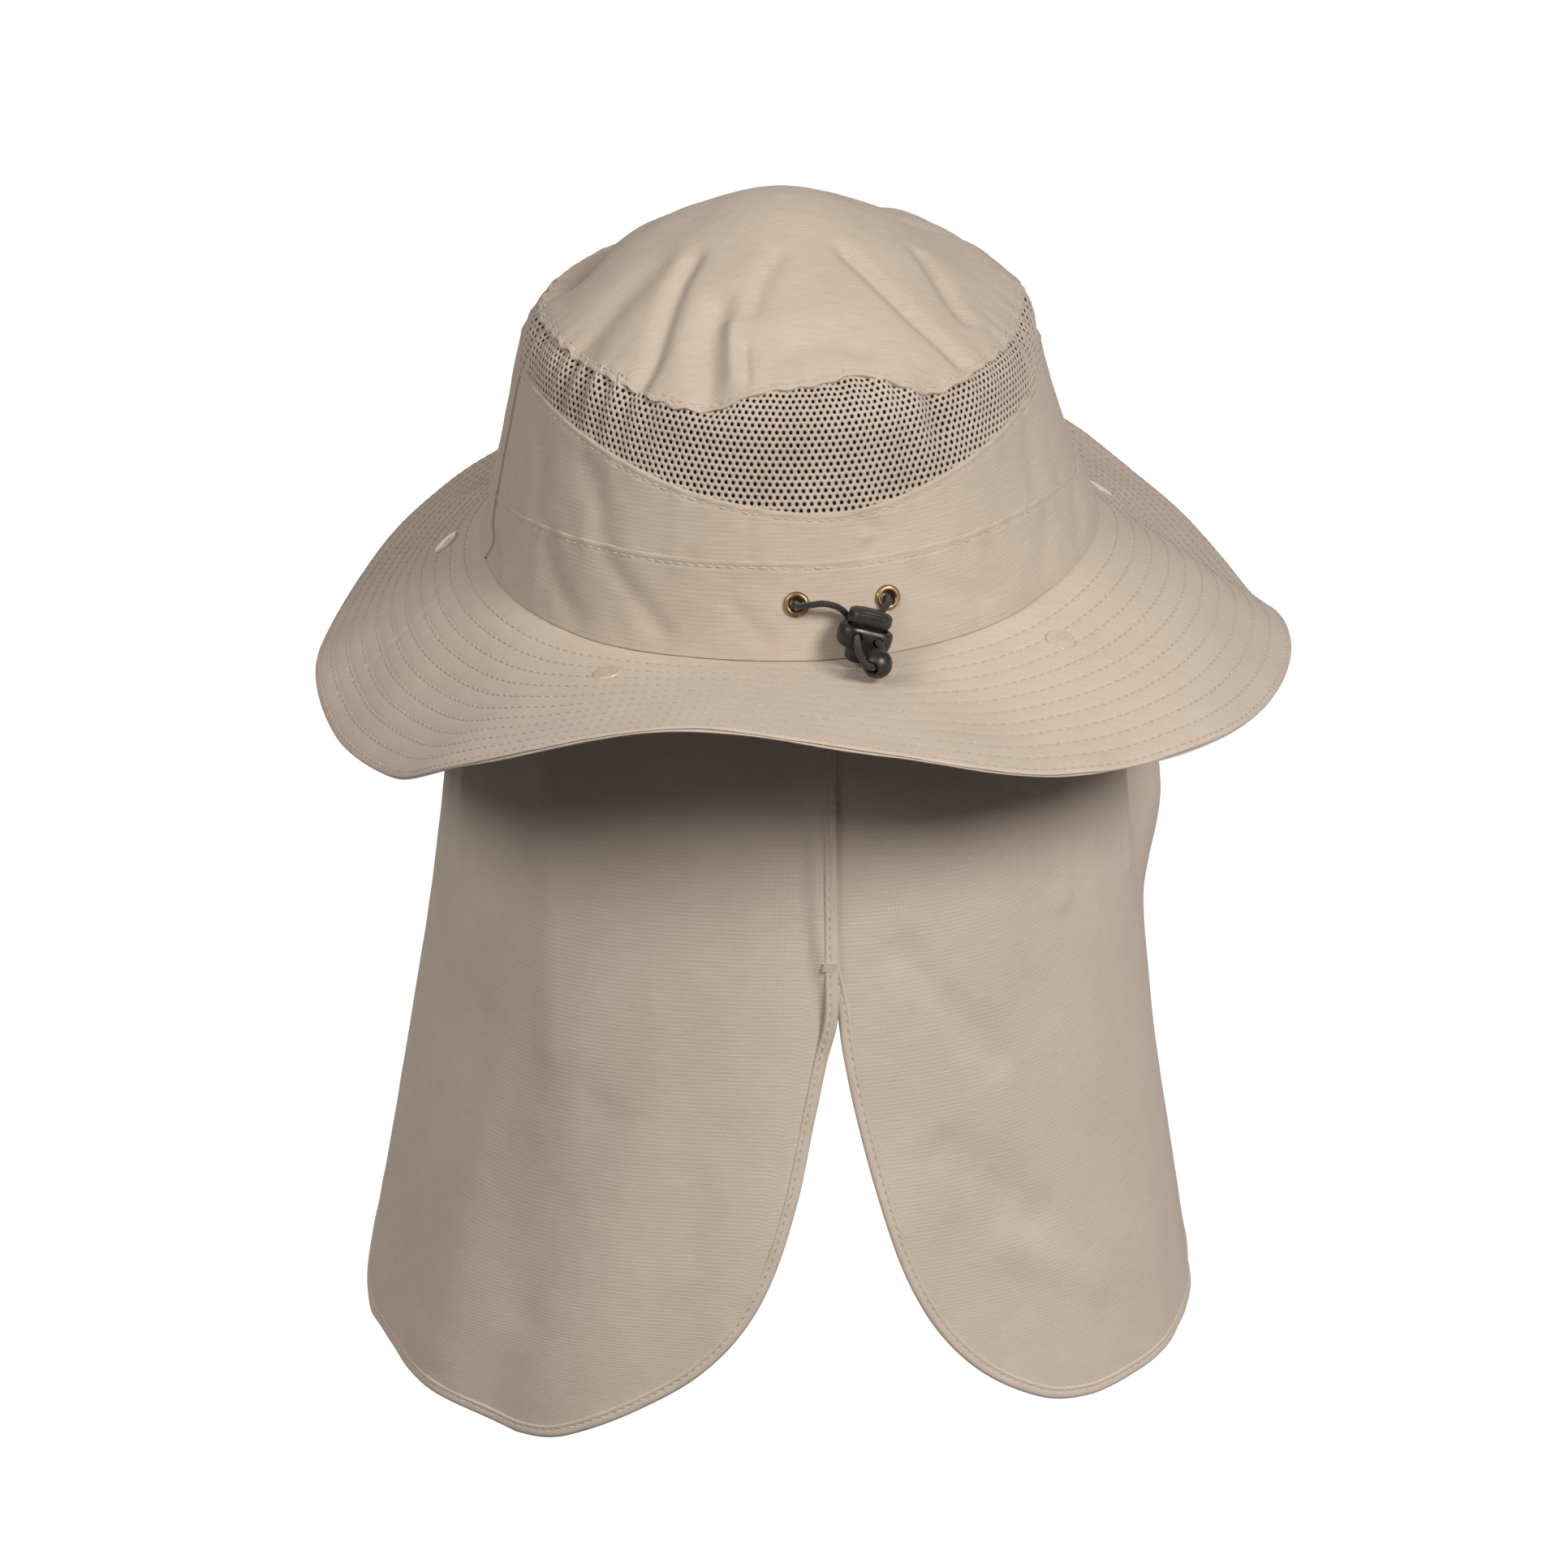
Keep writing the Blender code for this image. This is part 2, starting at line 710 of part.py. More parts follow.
def grid_offset(grid, distance):
    """The grid moved along its own normals, by the cross of its rows and columns."""
    columns, rows = len(grid), len(grid[0])
    moved = []
    for i in range(columns):
        column = []
        for k in range(rows):
            across = grid[min(i + 1, columns - 1)][k] - grid[max(i - 1, 0)][k]
            down = grid[i][min(k + 1, rows - 1)] - grid[i][max(k - 1, 0)]
            column.append(grid[i][k] + across.cross(down).normalized() * distance)
        moved.append(column)
    return moved


def build_cape(name, side, cloth):
    inner = cape_grid(side)
    outer = grid_offset(inner, side * -CAPE_WALL)
    return add_wall(name, outer, inner, cloth)


def build_snaps(brim, capes, plastic):
    below = BRIM_WALL + CAPE_SEAT_GAP + CAPE_WALL + SEAT_GAP
    top = SEAT_GAP + SNAP_CAP_HEIGHT
    profile = (
        (0, top),
        (0.5 * SNAP_CAP_RADIUS, top - 0.08 * SNAP_CAP_HEIGHT),
        (0.86 * SNAP_CAP_RADIUS, top - 0.45 * SNAP_CAP_HEIGHT),
        (SNAP_CAP_RADIUS, SEAT_GAP + 0.2 * SNAP_CAP_HEIGHT),
        (SNAP_CAP_RADIUS, SEAT_GAP),
        (SNAP_POST_RADIUS, SEAT_GAP),
        (SNAP_POST_RADIUS, -below),
        (SNAP_SOCKET_RADIUS, -below),
        (0.9 * SNAP_SOCKET_RADIUS, -below - SNAP_SOCKET_HEIGHT),
        (0, -below - SNAP_SOCKET_HEIGHT),
    )
    for number, azimuth in enumerate(SNAP_AZIMUTHS, 1):
        matrix = seat(brim_place(azimuth, SNAP_REACH), brim_normal(azimuth, SNAP_REACH), outward(azimuth))
        add_turned(f"snap_{number}", profile, SNAP_SIDES, matrix, plastic)
        hole = SNAP_POST_RADIUS + SEAM_GAP
        for thing in (brim, capes[0 if azimuth < 0 else 1]):
            deep = -below - SNAP_SOCKET_HEIGHT
            cut(thing, f"cut_{thing.name}_{number}", matrix, hole, deep, SNAP_CAP_HEIGHT, SNAP_SIDES)


def build_eyelets(band, brass):
    """Two rolled brass rings whose barrels sit in pockets of the lower band."""
    barrel = EYELET_HOLE_RADIUS + EYELET_METAL
    lip = SEAT_GAP + EYELET_ROLL
    profile = (
        (barrel, SEAT_GAP),
        (EYELET_RADIUS, SEAT_GAP),
        (EYELET_RADIUS, SEAT_GAP + 0.4 * EYELET_ROLL),
        (0.5 * (EYELET_RADIUS + barrel), lip),
        (barrel, lip - 0.1 * EYELET_ROLL),
        (EYELET_HOLE_RADIUS, 0.3 * EYELET_ROLL),
        (EYELET_HOLE_RADIUS, -EYELET_BARREL),
        (barrel, -EYELET_BARREL),
    )
    way = way_to_height(EYELET_HEIGHT / CROWN_HEIGHT)
    for name, azimuth in zip(("eyelet_left", "eyelet_right"), EYELET_AZIMUTHS):
        matrix = seat(crown_place(azimuth, way), crown_normal(azimuth, way))
        add_turned(name, profile, EYELET_SIDES, matrix, brass, ring=True)
        cut(band, f"cut_pocket_{name}", matrix, barrel + SEAM_GAP, -POCKET_DEPTH, POCKET_DEPTH)


def smooth_route(points, step):
    """Points about a step apart on a smooth curve through the points given."""
    ends = [2 * points[0] - points[1]] + list(points) + [2 * points[-1] - points[-2]]
    route = []
    for before, start, end, after in zip(ends, ends[1:], ends[2:], ends[3:]):
        pieces = max(1, round((end - start).length / step))
        for t in even_steps(0, 1, pieces)[:-1]:
            leave, arrive = (end - before) / 2, (after - start) / 2
            place = start * (1 + 2 * t) * (1 - t) ** 2 + end * t * t * (3 - 2 * t)
            route.append(place + leave * t * (1 - t) ** 2 - arrive * t * t * (1 - t))
    return route + [points[-1]]


def build_cord(elastic):
    route = smooth_route([Vector(point) * MM for point in CORD_ROUTE], CORD_STEP)
    curve = bpy.data.curves.new("draw_cord", "CURVE")
    curve.dimensions = "3D"
    curve.bevel_depth = CORD_DIAMETER / 2
    curve.bevel_resolution = 2
    curve.use_fill_caps = True
    spline = curve.splines.new("POLY")
    spline.points.add(len(route) - 1)
    for point, place in zip(spline.points, route):
        point.co = (*place, 1)
    curve.materials.append(elastic)
    cord = bpy.data.objects.new("draw_cord", curve)
    bpy.context.scene.collection.objects.link(cord)


def build_lock(plastic):
    """The cord lock: a foot, a wide collar that the cord runs through, and a button on top."""
    bm = bmesh.new()
    loops = []
    for height, width, depth in LOCK_SECTIONS:
        loop = []
        for k in range(LOCK_SIDES):
            turn = 2 * math.pi * k / LOCK_SIDES
            x = math.copysign(abs(math.cos(turn)) ** 0.8, math.cos(turn)) * width * LOCK_HALF_WIDTH
            y = math.copysign(abs(math.sin(turn)) ** 0.8, math.sin(turn)) * depth * LOCK_HALF_DEPTH
            loop.append(bm.verts.new((x, y, height * LOCK_HALF_HEIGHT)))
        loops.append(loop)
    for low, high in zip(loops, loops[1:]):
        for k in range(LOCK_SIDES):
            j = (k + 1) % LOCK_SIDES
            bm.faces.new((low[k], low[j], high[j], high[k]))
    bm.faces.new(loops[0])
    bm.faces.new(loops[-1])
    matrix = seat(LOCK_PLACE, LOCK_AXIS, Vector((0, 1, 0)))
    lock = add_object("cord_lock", bm, plastic, matrix)
    for name, side in (("left", -1), ("right", 1)):
        across = matrix.to_3x3() @ Vector((side * LOCK_HOLE_SPACING / 2, 0, 0))
        bore = seat(LOCK_PLACE + across, Vector((0, -1, 0)))
        half = 2 * LOCK_HALF_DEPTH
        cut(lock, f"cut_lock_{name}", bore, CORD_DIAMETER / 2 + CORD_CLEARANCE, -half, half, 12)


def build_ball(plastic):
    bm = bmesh.new()
    bmesh.ops.create_uvsphere(bm, u_segments=16, v_segments=10, radius=BALL_RADIUS)
    matrix = seat(BALL_PLACE, BALL_BORE)
    ball = add_object("cord_ball", bm, plastic, matrix)
    reach = 2 * BALL_RADIUS
    cut(ball, "cut_ball", matrix, CORD_DIAMETER / 2 + BALL_CLEARANCE, -reach, reach, 12)


def clear_scene():
    for thing in list(bpy.data.objects):
        bpy.data.objects.remove(thing, do_unlink=True)


def build_hat():
    khaki = finish("khaki_cloth", colour(191, 175, 158), 0.85)
    mesh_cloth = finish("mesh_cloth", colour(176, 160, 146), 0.9)
    brim_cloth = finish("brim_cloth", colour(194, 178, 162), 0.85)
    cape_cloth = finish("cape_cloth", colour(180, 163, 145), 0.85)
    brass = finish("antique_brass", colour(150, 122, 84), 0.35, metallic=1)
    black = finish("black_plastic", colour(33, 31, 28), 0.45)
    elastic = finish("black_elastic", colour(28, 27, 25), 0.7)
    snap_plastic = finish("snap_plastic", colour(188, 171, 153), 0.3)
    band = build_crown(khaki, mesh_cloth)
    brim = build_brim(brim_cloth)
    capes = [build_cape("cape_left", -1, cape_cloth), build_cape("cape_right", 1, cape_cloth)]
    build_snaps(brim, capes, snap_plastic)
    build_eyelets(band, brass)
    build_cord(elastic)
    build_lock(black)
    build_ball(black)


clear_scene()
build_hat()
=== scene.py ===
"""A soft fishing hat with a neck cape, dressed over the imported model's solids.

Lengths are in metres. +Y is the front of the hat and +Z is up. An azimuth is counted in degrees
from the middle of the back, turning towards +X.
"""

import math

import bmesh
import bpy
import numpy as np
from mathutils import Matrix, Vector


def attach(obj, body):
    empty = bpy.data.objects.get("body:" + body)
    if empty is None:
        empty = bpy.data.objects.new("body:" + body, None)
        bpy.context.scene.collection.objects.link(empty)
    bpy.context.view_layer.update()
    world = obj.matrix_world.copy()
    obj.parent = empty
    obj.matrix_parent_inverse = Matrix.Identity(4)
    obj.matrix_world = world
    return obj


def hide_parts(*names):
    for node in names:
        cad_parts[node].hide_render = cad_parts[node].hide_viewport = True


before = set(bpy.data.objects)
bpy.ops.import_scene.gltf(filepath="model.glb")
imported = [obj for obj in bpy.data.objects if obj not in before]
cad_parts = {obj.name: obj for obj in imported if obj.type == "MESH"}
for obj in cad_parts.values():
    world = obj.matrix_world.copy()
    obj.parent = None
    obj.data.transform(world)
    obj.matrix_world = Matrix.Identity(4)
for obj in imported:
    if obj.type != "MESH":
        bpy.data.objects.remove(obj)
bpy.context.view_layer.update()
bpy.ops.object.select_all(action="DESELECT")

# Camera. It stands behind the hat, a little to its left and above it, and looks through a long
# lens, so that the brim shows its upper face and the cape hangs down under it.
MM = 0.001
SENSOR = 36
CAMERA_AZIMUTH = math.radians(-8.6)
CAMERA_RISE = math.radians(24.5)
CAMERA_DISTANCE = 2.2
CAMERA_TARGET = Vector((0, 0, -0.085))
PICTURE_WIDTH = 1932
PIXELS_PER_METRE = 4000
TARGET_OFF_CENTRE = 6

towards_camera = Vector((
    math.sin(CAMERA_AZIMUTH) * math.cos(CAMERA_RISE),
    -math.cos(CAMERA_AZIMUTH) * math.cos(CAMERA_RISE),
    math.sin(CAMERA_RISE),
))
camera_data = bpy.data.cameras.new("camera")
camera_data.sensor_width = SENSOR
camera_data.lens = SENSOR * CAMERA_DISTANCE * PIXELS_PER_METRE / PICTURE_WIDTH
camera_data.shift_x = -TARGET_OFF_CENTRE / PICTURE_WIDTH
camera = bpy.data.objects.new("camera", camera_data)
camera.location = CAMERA_TARGET + towards_camera * CAMERA_DISTANCE
camera.rotation_mode = "QUATERNION"
camera.rotation_quaternion = (-towards_camera).to_track_quat("-Z", "Y")
bpy.context.scene.collection.objects.link(camera)
bpy.context.scene.camera = camera

# Draw cord. A round elastic cord with a braided sleeve leaves the left eyelet, runs through the
# cord lock, turns in the ball and comes back through the lock into the right eyelet.
CORD_DIAMETER = 2 * MM
CORD_STEP = 0.4 * MM
CORD_SIDES = 20
BRAID_STRANDS = 8
BRAID_PITCH = 7 * MM
BRAID_RELIEF = 0.07 * MM

# The cord's way in millimetres, from inside the left eyelet to inside the right one
CORD_ROUTE = (
    (-11.9, -94.1, 16.0),
    (-12.2, -96.4, 16.1),
    (-11.6, -99.0, 16.9),
    (-9.0, -101.3, 18.1),
    (-5.6, -102.0, 18.6),
    (-2.2, -101.6, 17.6),
    (0.4, -100.4, 15.6),
    (2.0, -99.9, 13.4),
    (2.9, -100.7, 11.6),
    (3.15, -103.0, 11.1),
    (3.15, -106.5, 11.06),
    (3.1, -110.5, 11.1),
    (2.7, -114.2, 11.2),
    (2.3, -118.0, 10.7),
    (2.7, -121.3, 9.3),
    (4.1, -123.2, 7.6),
    (5.9, -122.2, 6.5),
    (7.7, -119.3, 6.3),
    (9.4, -116.5, 6.3),
    (10.3, -114.3, 7.1),
    (10.1, -112.4, 8.5),
    (9.4, -110.4, 9.1),
    (9.25, -108.0, 9.14),
    (9.25, -104.5, 9.14),
    (9.4, -101.6, 9.4),
    (10.1, -99.9, 11.0),
    (11.3, -99.5, 13.0),
    (13.0, -99.2, 14.8),
    (14.4, -97.9, 15.8),
    (14.9, -95.8, 16.0),
    (14.6, -93.8, 16.0),
)


def unit(vectors):
    """The same directions with length 1."""
    return vectors / np.maximum(np.linalg.norm(vectors, axis=-1, keepdims=True), 1e-12)


def even_route(points, step):
    """Points a step apart on a smooth curve through the points given."""
    points = np.asarray(points, float)
    ends = np.vstack([2 * points[0] - points[1], points, 2 * points[-1] - points[-2]])
    t = np.linspace(0, 1, 24, endpoint=False)[:, None]
    dense = []
    for before, start, end, after in zip(ends, ends[1:], ends[2:], ends[3:]):
        leave, arrive = (end - before) / 2, (after - start) / 2
        place = start * (1 + 2 * t) * (1 - t) ** 2 + end * t * t * (3 - 2 * t)
        dense.append(place + leave * t * (1 - t) ** 2 - arrive * t * t * (1 - t))
    dense = np.vstack(dense + [points[-1:]])
    run = np.r_[0, np.cumsum(np.linalg.norm(np.diff(dense, axis=0), axis=1))]
    stops = np.linspace(0, run[-1], max(2, round(run[-1] / step)) + 1)
    return np.stack([np.interp(stops, run, dense[:, k]) for k in range(3)], axis=1)


def link_mesh(name, points, faces, corner_flats, material, smooth_angle=50):
    """A closed mesh piece. corner_flats is each face corner's place on flat cloth, in millimetres."""
    mesh = bpy.data.meshes.new(name)
    mesh.from_pydata(points.tolist(), [], faces)
    mesh.uv_layers.new(name="flat").data.foreach_set("uv", np.asarray(corner_flats, float).ravel())
    bm = bmesh.new()
    bm.from_mesh(mesh)
    bmesh.ops.recalc_face_normals(bm, faces=bm.faces)
    bm.to_mesh(mesh)
    bm.free()
    mesh.shade_smooth()
    mesh.set_sharp_from_angle(angle=math.radians(smooth_angle))
    mesh.materials.append(material)
    piece = bpy.data.objects.new(name, mesh)
    bpy.context.scene.collection.objects.link(piece)
    return piece


def swept(name, line, side, up, profile, material, closed=False):
    """A profile of (sideways, upward) points carried along a line, closed at both its ends."""
    profile = np.asarray(profile, float)
    if profile.ndim == 2:
        profile = np.broadcast_to(profile, (len(line), *profile.shape))
    points = line[:, None] + side[:, None] * profile[:, :, :1] + up[:, None] * profile[:, :, 1:]
    count, round_ = points.shape[:2]
    run = np.r_[0, np.cumsum(np.linalg.norm(np.diff(line, axis=0), axis=1))] / MM
    girth = np.linalg.norm(np.diff(np.r_[profile[0], profile[0][:1]], axis=0), axis=1)
    girth = np.r_[0, np.cumsum(girth)] / MM
    faces, flats = [], []
    for i in range(count - 1 + closed):
        j = (i + 1) % count
        far = run[j] if j else run[i] + run[1]
        for k in range(round_):
            m = (k + 1) % round_
            faces.append((i * round_ + k, j * round_ + k, j * round_ + m, i * round_ + m))
            flats += [(run[i], girth[k]), (far, girth[k]), (far, girth[k + 1]), (run[i], girth[k + 1])]
    if not closed:
        for ring in (range(round_), range((count - 1) * round_, count * round_)):
            faces.append(tuple(ring))
            flats += [(0, 0)] * round_
    return link_mesh(name, points.reshape(-1, 3), faces, flats, material)


def carried_frames(line):
    """Side and up directions along a line, carried on without twist."""
    ahead = unit(np.gradient(line, axis=0))
    side = [unit(np.cross(ahead[0], (0.1, 0.2, 1.0)))]
    for direction in ahead[1:]:
        last = side[-1] - direction * side[-1].dot(direction)
        side.append(unit(last))
    side = np.array(side)
    return side, np.cross(ahead, side)


def new_material(name, roughness, metallic=0, coat=0, sheen=0, specular=0.5):
    """A material with one plain shader, and its node tree."""
    material = bpy.data.materials.new(name)
    material.use_nodes = True
    shader = material.node_tree.nodes["Principled BSDF"]
    shader.inputs["Roughness"].default_value = roughness
    shader.inputs["Metallic"].default_value = metallic
    shader.inputs["Coat Weight"].default_value = coat
    shader.inputs["Sheen Weight"].default_value = sheen
    shader.inputs["Specular IOR Level"].default_value = specular
    return material, material.node_tree, shader


def screen_colour(red, green, blue):
    """A linear colour from screen values of 0 to 255."""
    shares = [value / 255 for value in (red, green, blue)]
    linear = [((share + 0.055) / 1.055) ** 2.4 if share > 0.04 else share / 12.92 for share in shares]
    return (*linear, 1)


def add_node(tree, kind, settings=None, **inputs):
    """A node of a kind, with its settings and with its inputs set or linked."""
    node = tree.nodes.new(kind)
    for key, value in (settings or {}).items():
        setattr(node, key, value)
    for key, value in inputs.items():
        socket = node.inputs[int(key[1:])] if key[0] == "i" and key[1:].isdigit() else node.inputs[key]
        if isinstance(value, bpy.types.NodeSocket):
            tree.links.new(value, socket)
        else:
            socket.default_value = value
    return node


def ramp(tree, value, *stops):
    """A colour ramp with (place, colour) stops."""
    node = add_node(tree, "ShaderNodeValToRGB", i0=value)
    elements = node.color_ramp.elements
    while len(elements) < len(stops):
        elements.new(0.5)
    for element, (place, colour) in zip(elements, stops):
        element.position = place
        element.color = colour if isinstance(colour, tuple) else (colour, colour, colour, 1)
    return node.outputs[0]


def maths(tree, operation, first, second=0.0):
    return add_node(tree, "ShaderNodeMath", {"operation": operation}, i0=first, i1=second).outputs[0]


def weighted(tree, *terms):
    """The sum of values, each times its share."""
    total = None
    for value, share in terms:
        term = maths(tree, "MULTIPLY", value, share)
        total = term if total is None else maths(tree, "ADD", total, term)
    return total


def bumped(tree, shader, height, distance, strength=1.0, under=None):
    """Links a height to the shader's normal as a bump this deep."""
    bump = add_node(tree, "ShaderNodeBump", Height=height, Distance=distance, Strength=strength)
    if under is not None:
        tree.links.new(under, bump.inputs["Normal"])
    if shader is not None:
        tree.links.new(bump.outputs[0], shader.inputs["Normal"])
    return bump.outputs[0]


def braided_elastic():
    """Black braided sleeve: crossing strands with a faint shine."""
    material, tree, shader = new_material("black_braid", 0.62, sheen=0.25, specular=0.35)
    flat = add_node(tree, "ShaderNodeTexCoord").outputs["UV"]
    grain = add_node(tree, "ShaderNodeTexNoise", Vector=flat, Scale=3.0, Detail=6.0).outputs[0]
    colour = ramp(tree, grain, (0.3, screen_colour(24, 23, 21)), (0.75, screen_colour(46, 44, 41)))
    tree.links.new(colour, shader.inputs["Base Color"])
    strands = []
    for lean in (0.7, -0.7):
        turned = add_node(tree, "ShaderNodeMapping", Vector=flat, Rotation=(0, 0, lean)).outputs[0]
        strands.append(add_node(tree, "ShaderNodeTexWave", Vector=turned, Scale=0.45).outputs["Fac"])
    woven = maths(tree, "MAXIMUM", *strands)
    bumped(tree, shader, maths(tree, "ADD", woven, maths(tree, "MULTIPLY", grain, 0.5)), 0.08 * MM)
    return material


cord_line = even_route(np.array(CORD_ROUTE) * MM, CORD_STEP)
cord_run = np.arange(len(cord_line)) * CORD_STEP
cord_turn = np.arange(CORD_SIDES) * 2 * math.pi / CORD_SIDES
cord_twist = 2 * math.pi * cord_run[:, None] / BRAID_PITCH * BRAID_STRANDS / 2
braid = [np.cos(BRAID_STRANDS / 2 * cord_turn + lean * cord_twist) for lean in (1, -1)]
cord_radius = CORD_DIAMETER / 2 - BRAID_RELIEF + BRAID_RELIEF * np.maximum(*braid)
cord_profile = np.stack([cord_radius * np.cos(cord_turn), cord_radius * np.sin(cord_turn)], axis=2)
cord_piece = swept("cord", cord_line, *carried_frames(cord_line), cord_profile, braided_elastic())
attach(cord_piece, "root")
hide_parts("draw_cord")

# Cord lock and ball. Both are moulded in satin black plastic: a collar with two oval holes and a
# tapered foot, a sprung button on top of it, and a ball with a wide bore at the cord's loop.
LOCK_PLACE = Vector((6.2, -106.5, 10.1)) * MM
LOCK_AXIS = Vector((0.30, 0.08, 0.95))
LOCK_HOLE_SPACING = 6.4 * MM
LOCK_HOLE_RADIUS = 1.5 * MM
LOCK_SIDES = 64
BALL_PLACE = Vector((7.7, -119.3, 6.3)) * MM
BALL_BORE = Vector((0.53, 0.85, -0.02))
BALL_RADIUS = 4.4 * MM
BALL_BORE_RADIUS = 1.75 * MM
STADIUM_STRETCH = 0.8

# Half width, half depth and height of the lock's body from its foot to its collar's rim, in millimetres
LOCK_BODY_RINGS = (
    (2.4, 1.5, -8.4),
    (3.3, 2.3, -8.3),
    (3.8, 2.75, -7.9),
    (4.1, 3.0, -7.0),
    (4.5, 3.35, -4.9),
    (5.2, 3.6, -4.5),
    (6.6, 3.95, -4.2),
    (7.4, 4.25, -3.7),
    (7.9, 4.45, -2.9),
    (8.15, 4.58, -1.6),
    (8.2, 4.6, -0.2),
    (8.1, 4.55, 1.2),
    (7.8, 4.35, 1.9),
    (7.2, 4.05, 2.3),
    (6.5, 3.6, 2.4),
    (6.1, 3.3, 2.2),
    (6.0, 3.2, 1.4),
)
# The button and the post that it stands on
LOCK_BUTTON_RINGS = (
    (5.0, 2.6, 1.4),
    (5.2, 2.8, 3.2),
    (5.5, 3.05, 3.35),
    (6.2, 3.6, 3.5),
    (6.5, 3.85, 3.9),
    (6.56, 3.9, 4.6),
    (6.5, 3.86, 6.3),
    (6.3, 3.7, 6.75),
    (5.7, 3.2, 7.1),
    (5.2, 2.75, 7.2),
    (5.05, 2.6, 7.12),
    (4.9, 2.5, 7.3),
    (4.0, 2.0, 7.6),
    (1.8, 0.9, 7.75),
)


def seat(place, normal, across=(0, 0, 1)):
    """A place with its Z axis along a normal and its X axis square to both directions given."""
    up = Vector(normal).normalized()
    side = Vector(across).cross(up).normalized()
    turn = Matrix((side, up.cross(side), up)).transposed()
    return Matrix.Translation(Vector(place)) @ turn.to_4x4()


def raised(name, rings, sides, stretch=0.0, loop=False):
    """A solid drawn up ring by ring from a circle. stretch pulls the circle's halves apart first, and
    loop joins the last ring to the first instead of capping both."""
    bpy.ops.object.select_all(action="DESELECT")
    bpy.ops.mesh.primitive_circle_add(vertices=sides, radius=1)
    piece = bpy.context.object
    piece.name = piece.data.name = name
    bpy.ops.object.mode_set(mode="EDIT")
    bpy.ops.mesh.select_all(action="SELECT")
    if stretch:
        bm = bmesh.from_edit_mesh(piece.data)
        for vertex in bm.verts:
            vertex.select_set(vertex.co.x > 1e-6)
        bm.select_flush(False)
        bpy.ops.transform.translate(value=(stretch, 0, 0))
        bpy.ops.mesh.select_all(action="INVERT")
        bpy.ops.transform.translate(value=(-stretch, 0, 0))
        bpy.ops.mesh.select_all(action="SELECT")
    width, depth, height = 1 + stretch, 1, 0
    for number, (half_width, half_depth, ring_height) in enumerate(rings):
        rise = (0, 0, ring_height - height)
        if number:
            bpy.ops.mesh.extrude_region_move(TRANSFORM_OT_translate={"value": rise})
        else:
            bpy.ops.transform.translate(value=rise)
        size = (half_width / width, half_depth / depth, 1)
        bpy.ops.transform.resize(value=size, center_override=(0, 0, ring_height))
        width, depth, height = half_width, half_depth, ring_height
    bpy.ops.mesh.select_all(action="SELECT")
    if loop:
        bpy.ops.mesh.remove_doubles(threshold=1e-7)
    else:
        bpy.ops.mesh.fill_holes(sides=0)
    bpy.ops.mesh.select_all(action="SELECT")
    bpy.ops.mesh.normals_make_consistent(inside=False)
    bpy.ops.object.mode_set(mode="OBJECT")
    return piece


def placed(piece, matrix, material, smooth_angle=35):
    """Puts a finished piece in its place, shaded smooth up to its sharp edges."""
    piece.data.transform(matrix)
    piece.data.materials.append(material)
    bpy.ops.object.select_all(action="DESELECT")
    piece.select_set(True)
    bpy.context.view_layer.objects.active = piece
    bpy.ops.object.shade_smooth_by_angle(angle=math.radians(smooth_angle))
    piece.select_set(False)
    return piece


def bored(piece, cutters):
    """Takes the cutters out of a piece."""
    for cutter in cutters:
        hole = piece.modifiers.new("bore", "BOOLEAN")
        hole.operation = "DIFFERENCE"
        hole.solver = "EXACT"
        hole.object = cutter
        bpy.context.view_layer.objects.active = piece
        bpy.ops.object.modifier_apply(modifier="bore")
        bpy.data.objects.remove(cutter, do_unlink=True)
    return piece


def moulded_plastic():
    """Satin black plastic: a fine moulded grain, faint flow marks and rubbed, shinier patches."""
    material, tree, shader = new_material("moulded_black", 0.4, specular=0.5)
    place = add_node(tree, "ShaderNodeTexCoord").outputs["Object"]
    grain = add_node(tree, "ShaderNodeTexNoise", Vector=place, Scale=9000.0, Detail=3.0).outputs[0]
    flow = add_node(tree, "ShaderNodeTexNoise", Vector=place, Scale=350.0, Detail=4.0).outputs[0]
    colour = ramp(tree, flow, (0.3, screen_colour(27, 26, 24)), (0.7, screen_colour(42, 40, 37)))
    tree.links.new(colour, shader.inputs["Base Color"])
    tree.links.new(ramp(tree, flow, (0.35, 0.3), (0.7, 0.5)), shader.inputs["Roughness"])
    bumped(tree, shader, maths(tree, "ADD", grain, flow), 0.02 * MM, 0.6)
    return material


black_plastic = moulded_plastic()
lock_matrix = seat(LOCK_PLACE, LOCK_AXIS, (0, 1, 0))
in_metres = Matrix.Scale(MM, 4)
lock_body = raised("lock_body", LOCK_BODY_RINGS, LOCK_SIDES, STADIUM_STRETCH)
lock_body.data.transform(lock_matrix @ in_metres)
lock_bores = []
for side in (-1, 1):
    middle = lock_matrix @ Vector((side * LOCK_HOLE_SPACING / 2, 0, 0))
    bpy.ops.mesh.primitive_cylinder_add(vertices=40, radius=LOCK_HOLE_RADIUS, depth=24 * MM)
    bore = bpy.context.object
    bore.data.transform(seat(middle, (0, -1, 0)))
    lock_bores.append(bore)
bored(lock_body, lock_bores)
placed(lock_body, Matrix(), black_plastic)
lock_button = raised("lock_button", LOCK_BUTTON_RINGS, LOCK_SIDES, STADIUM_STRETCH)
placed(lock_button, lock_matrix @ in_metres, black_plastic)

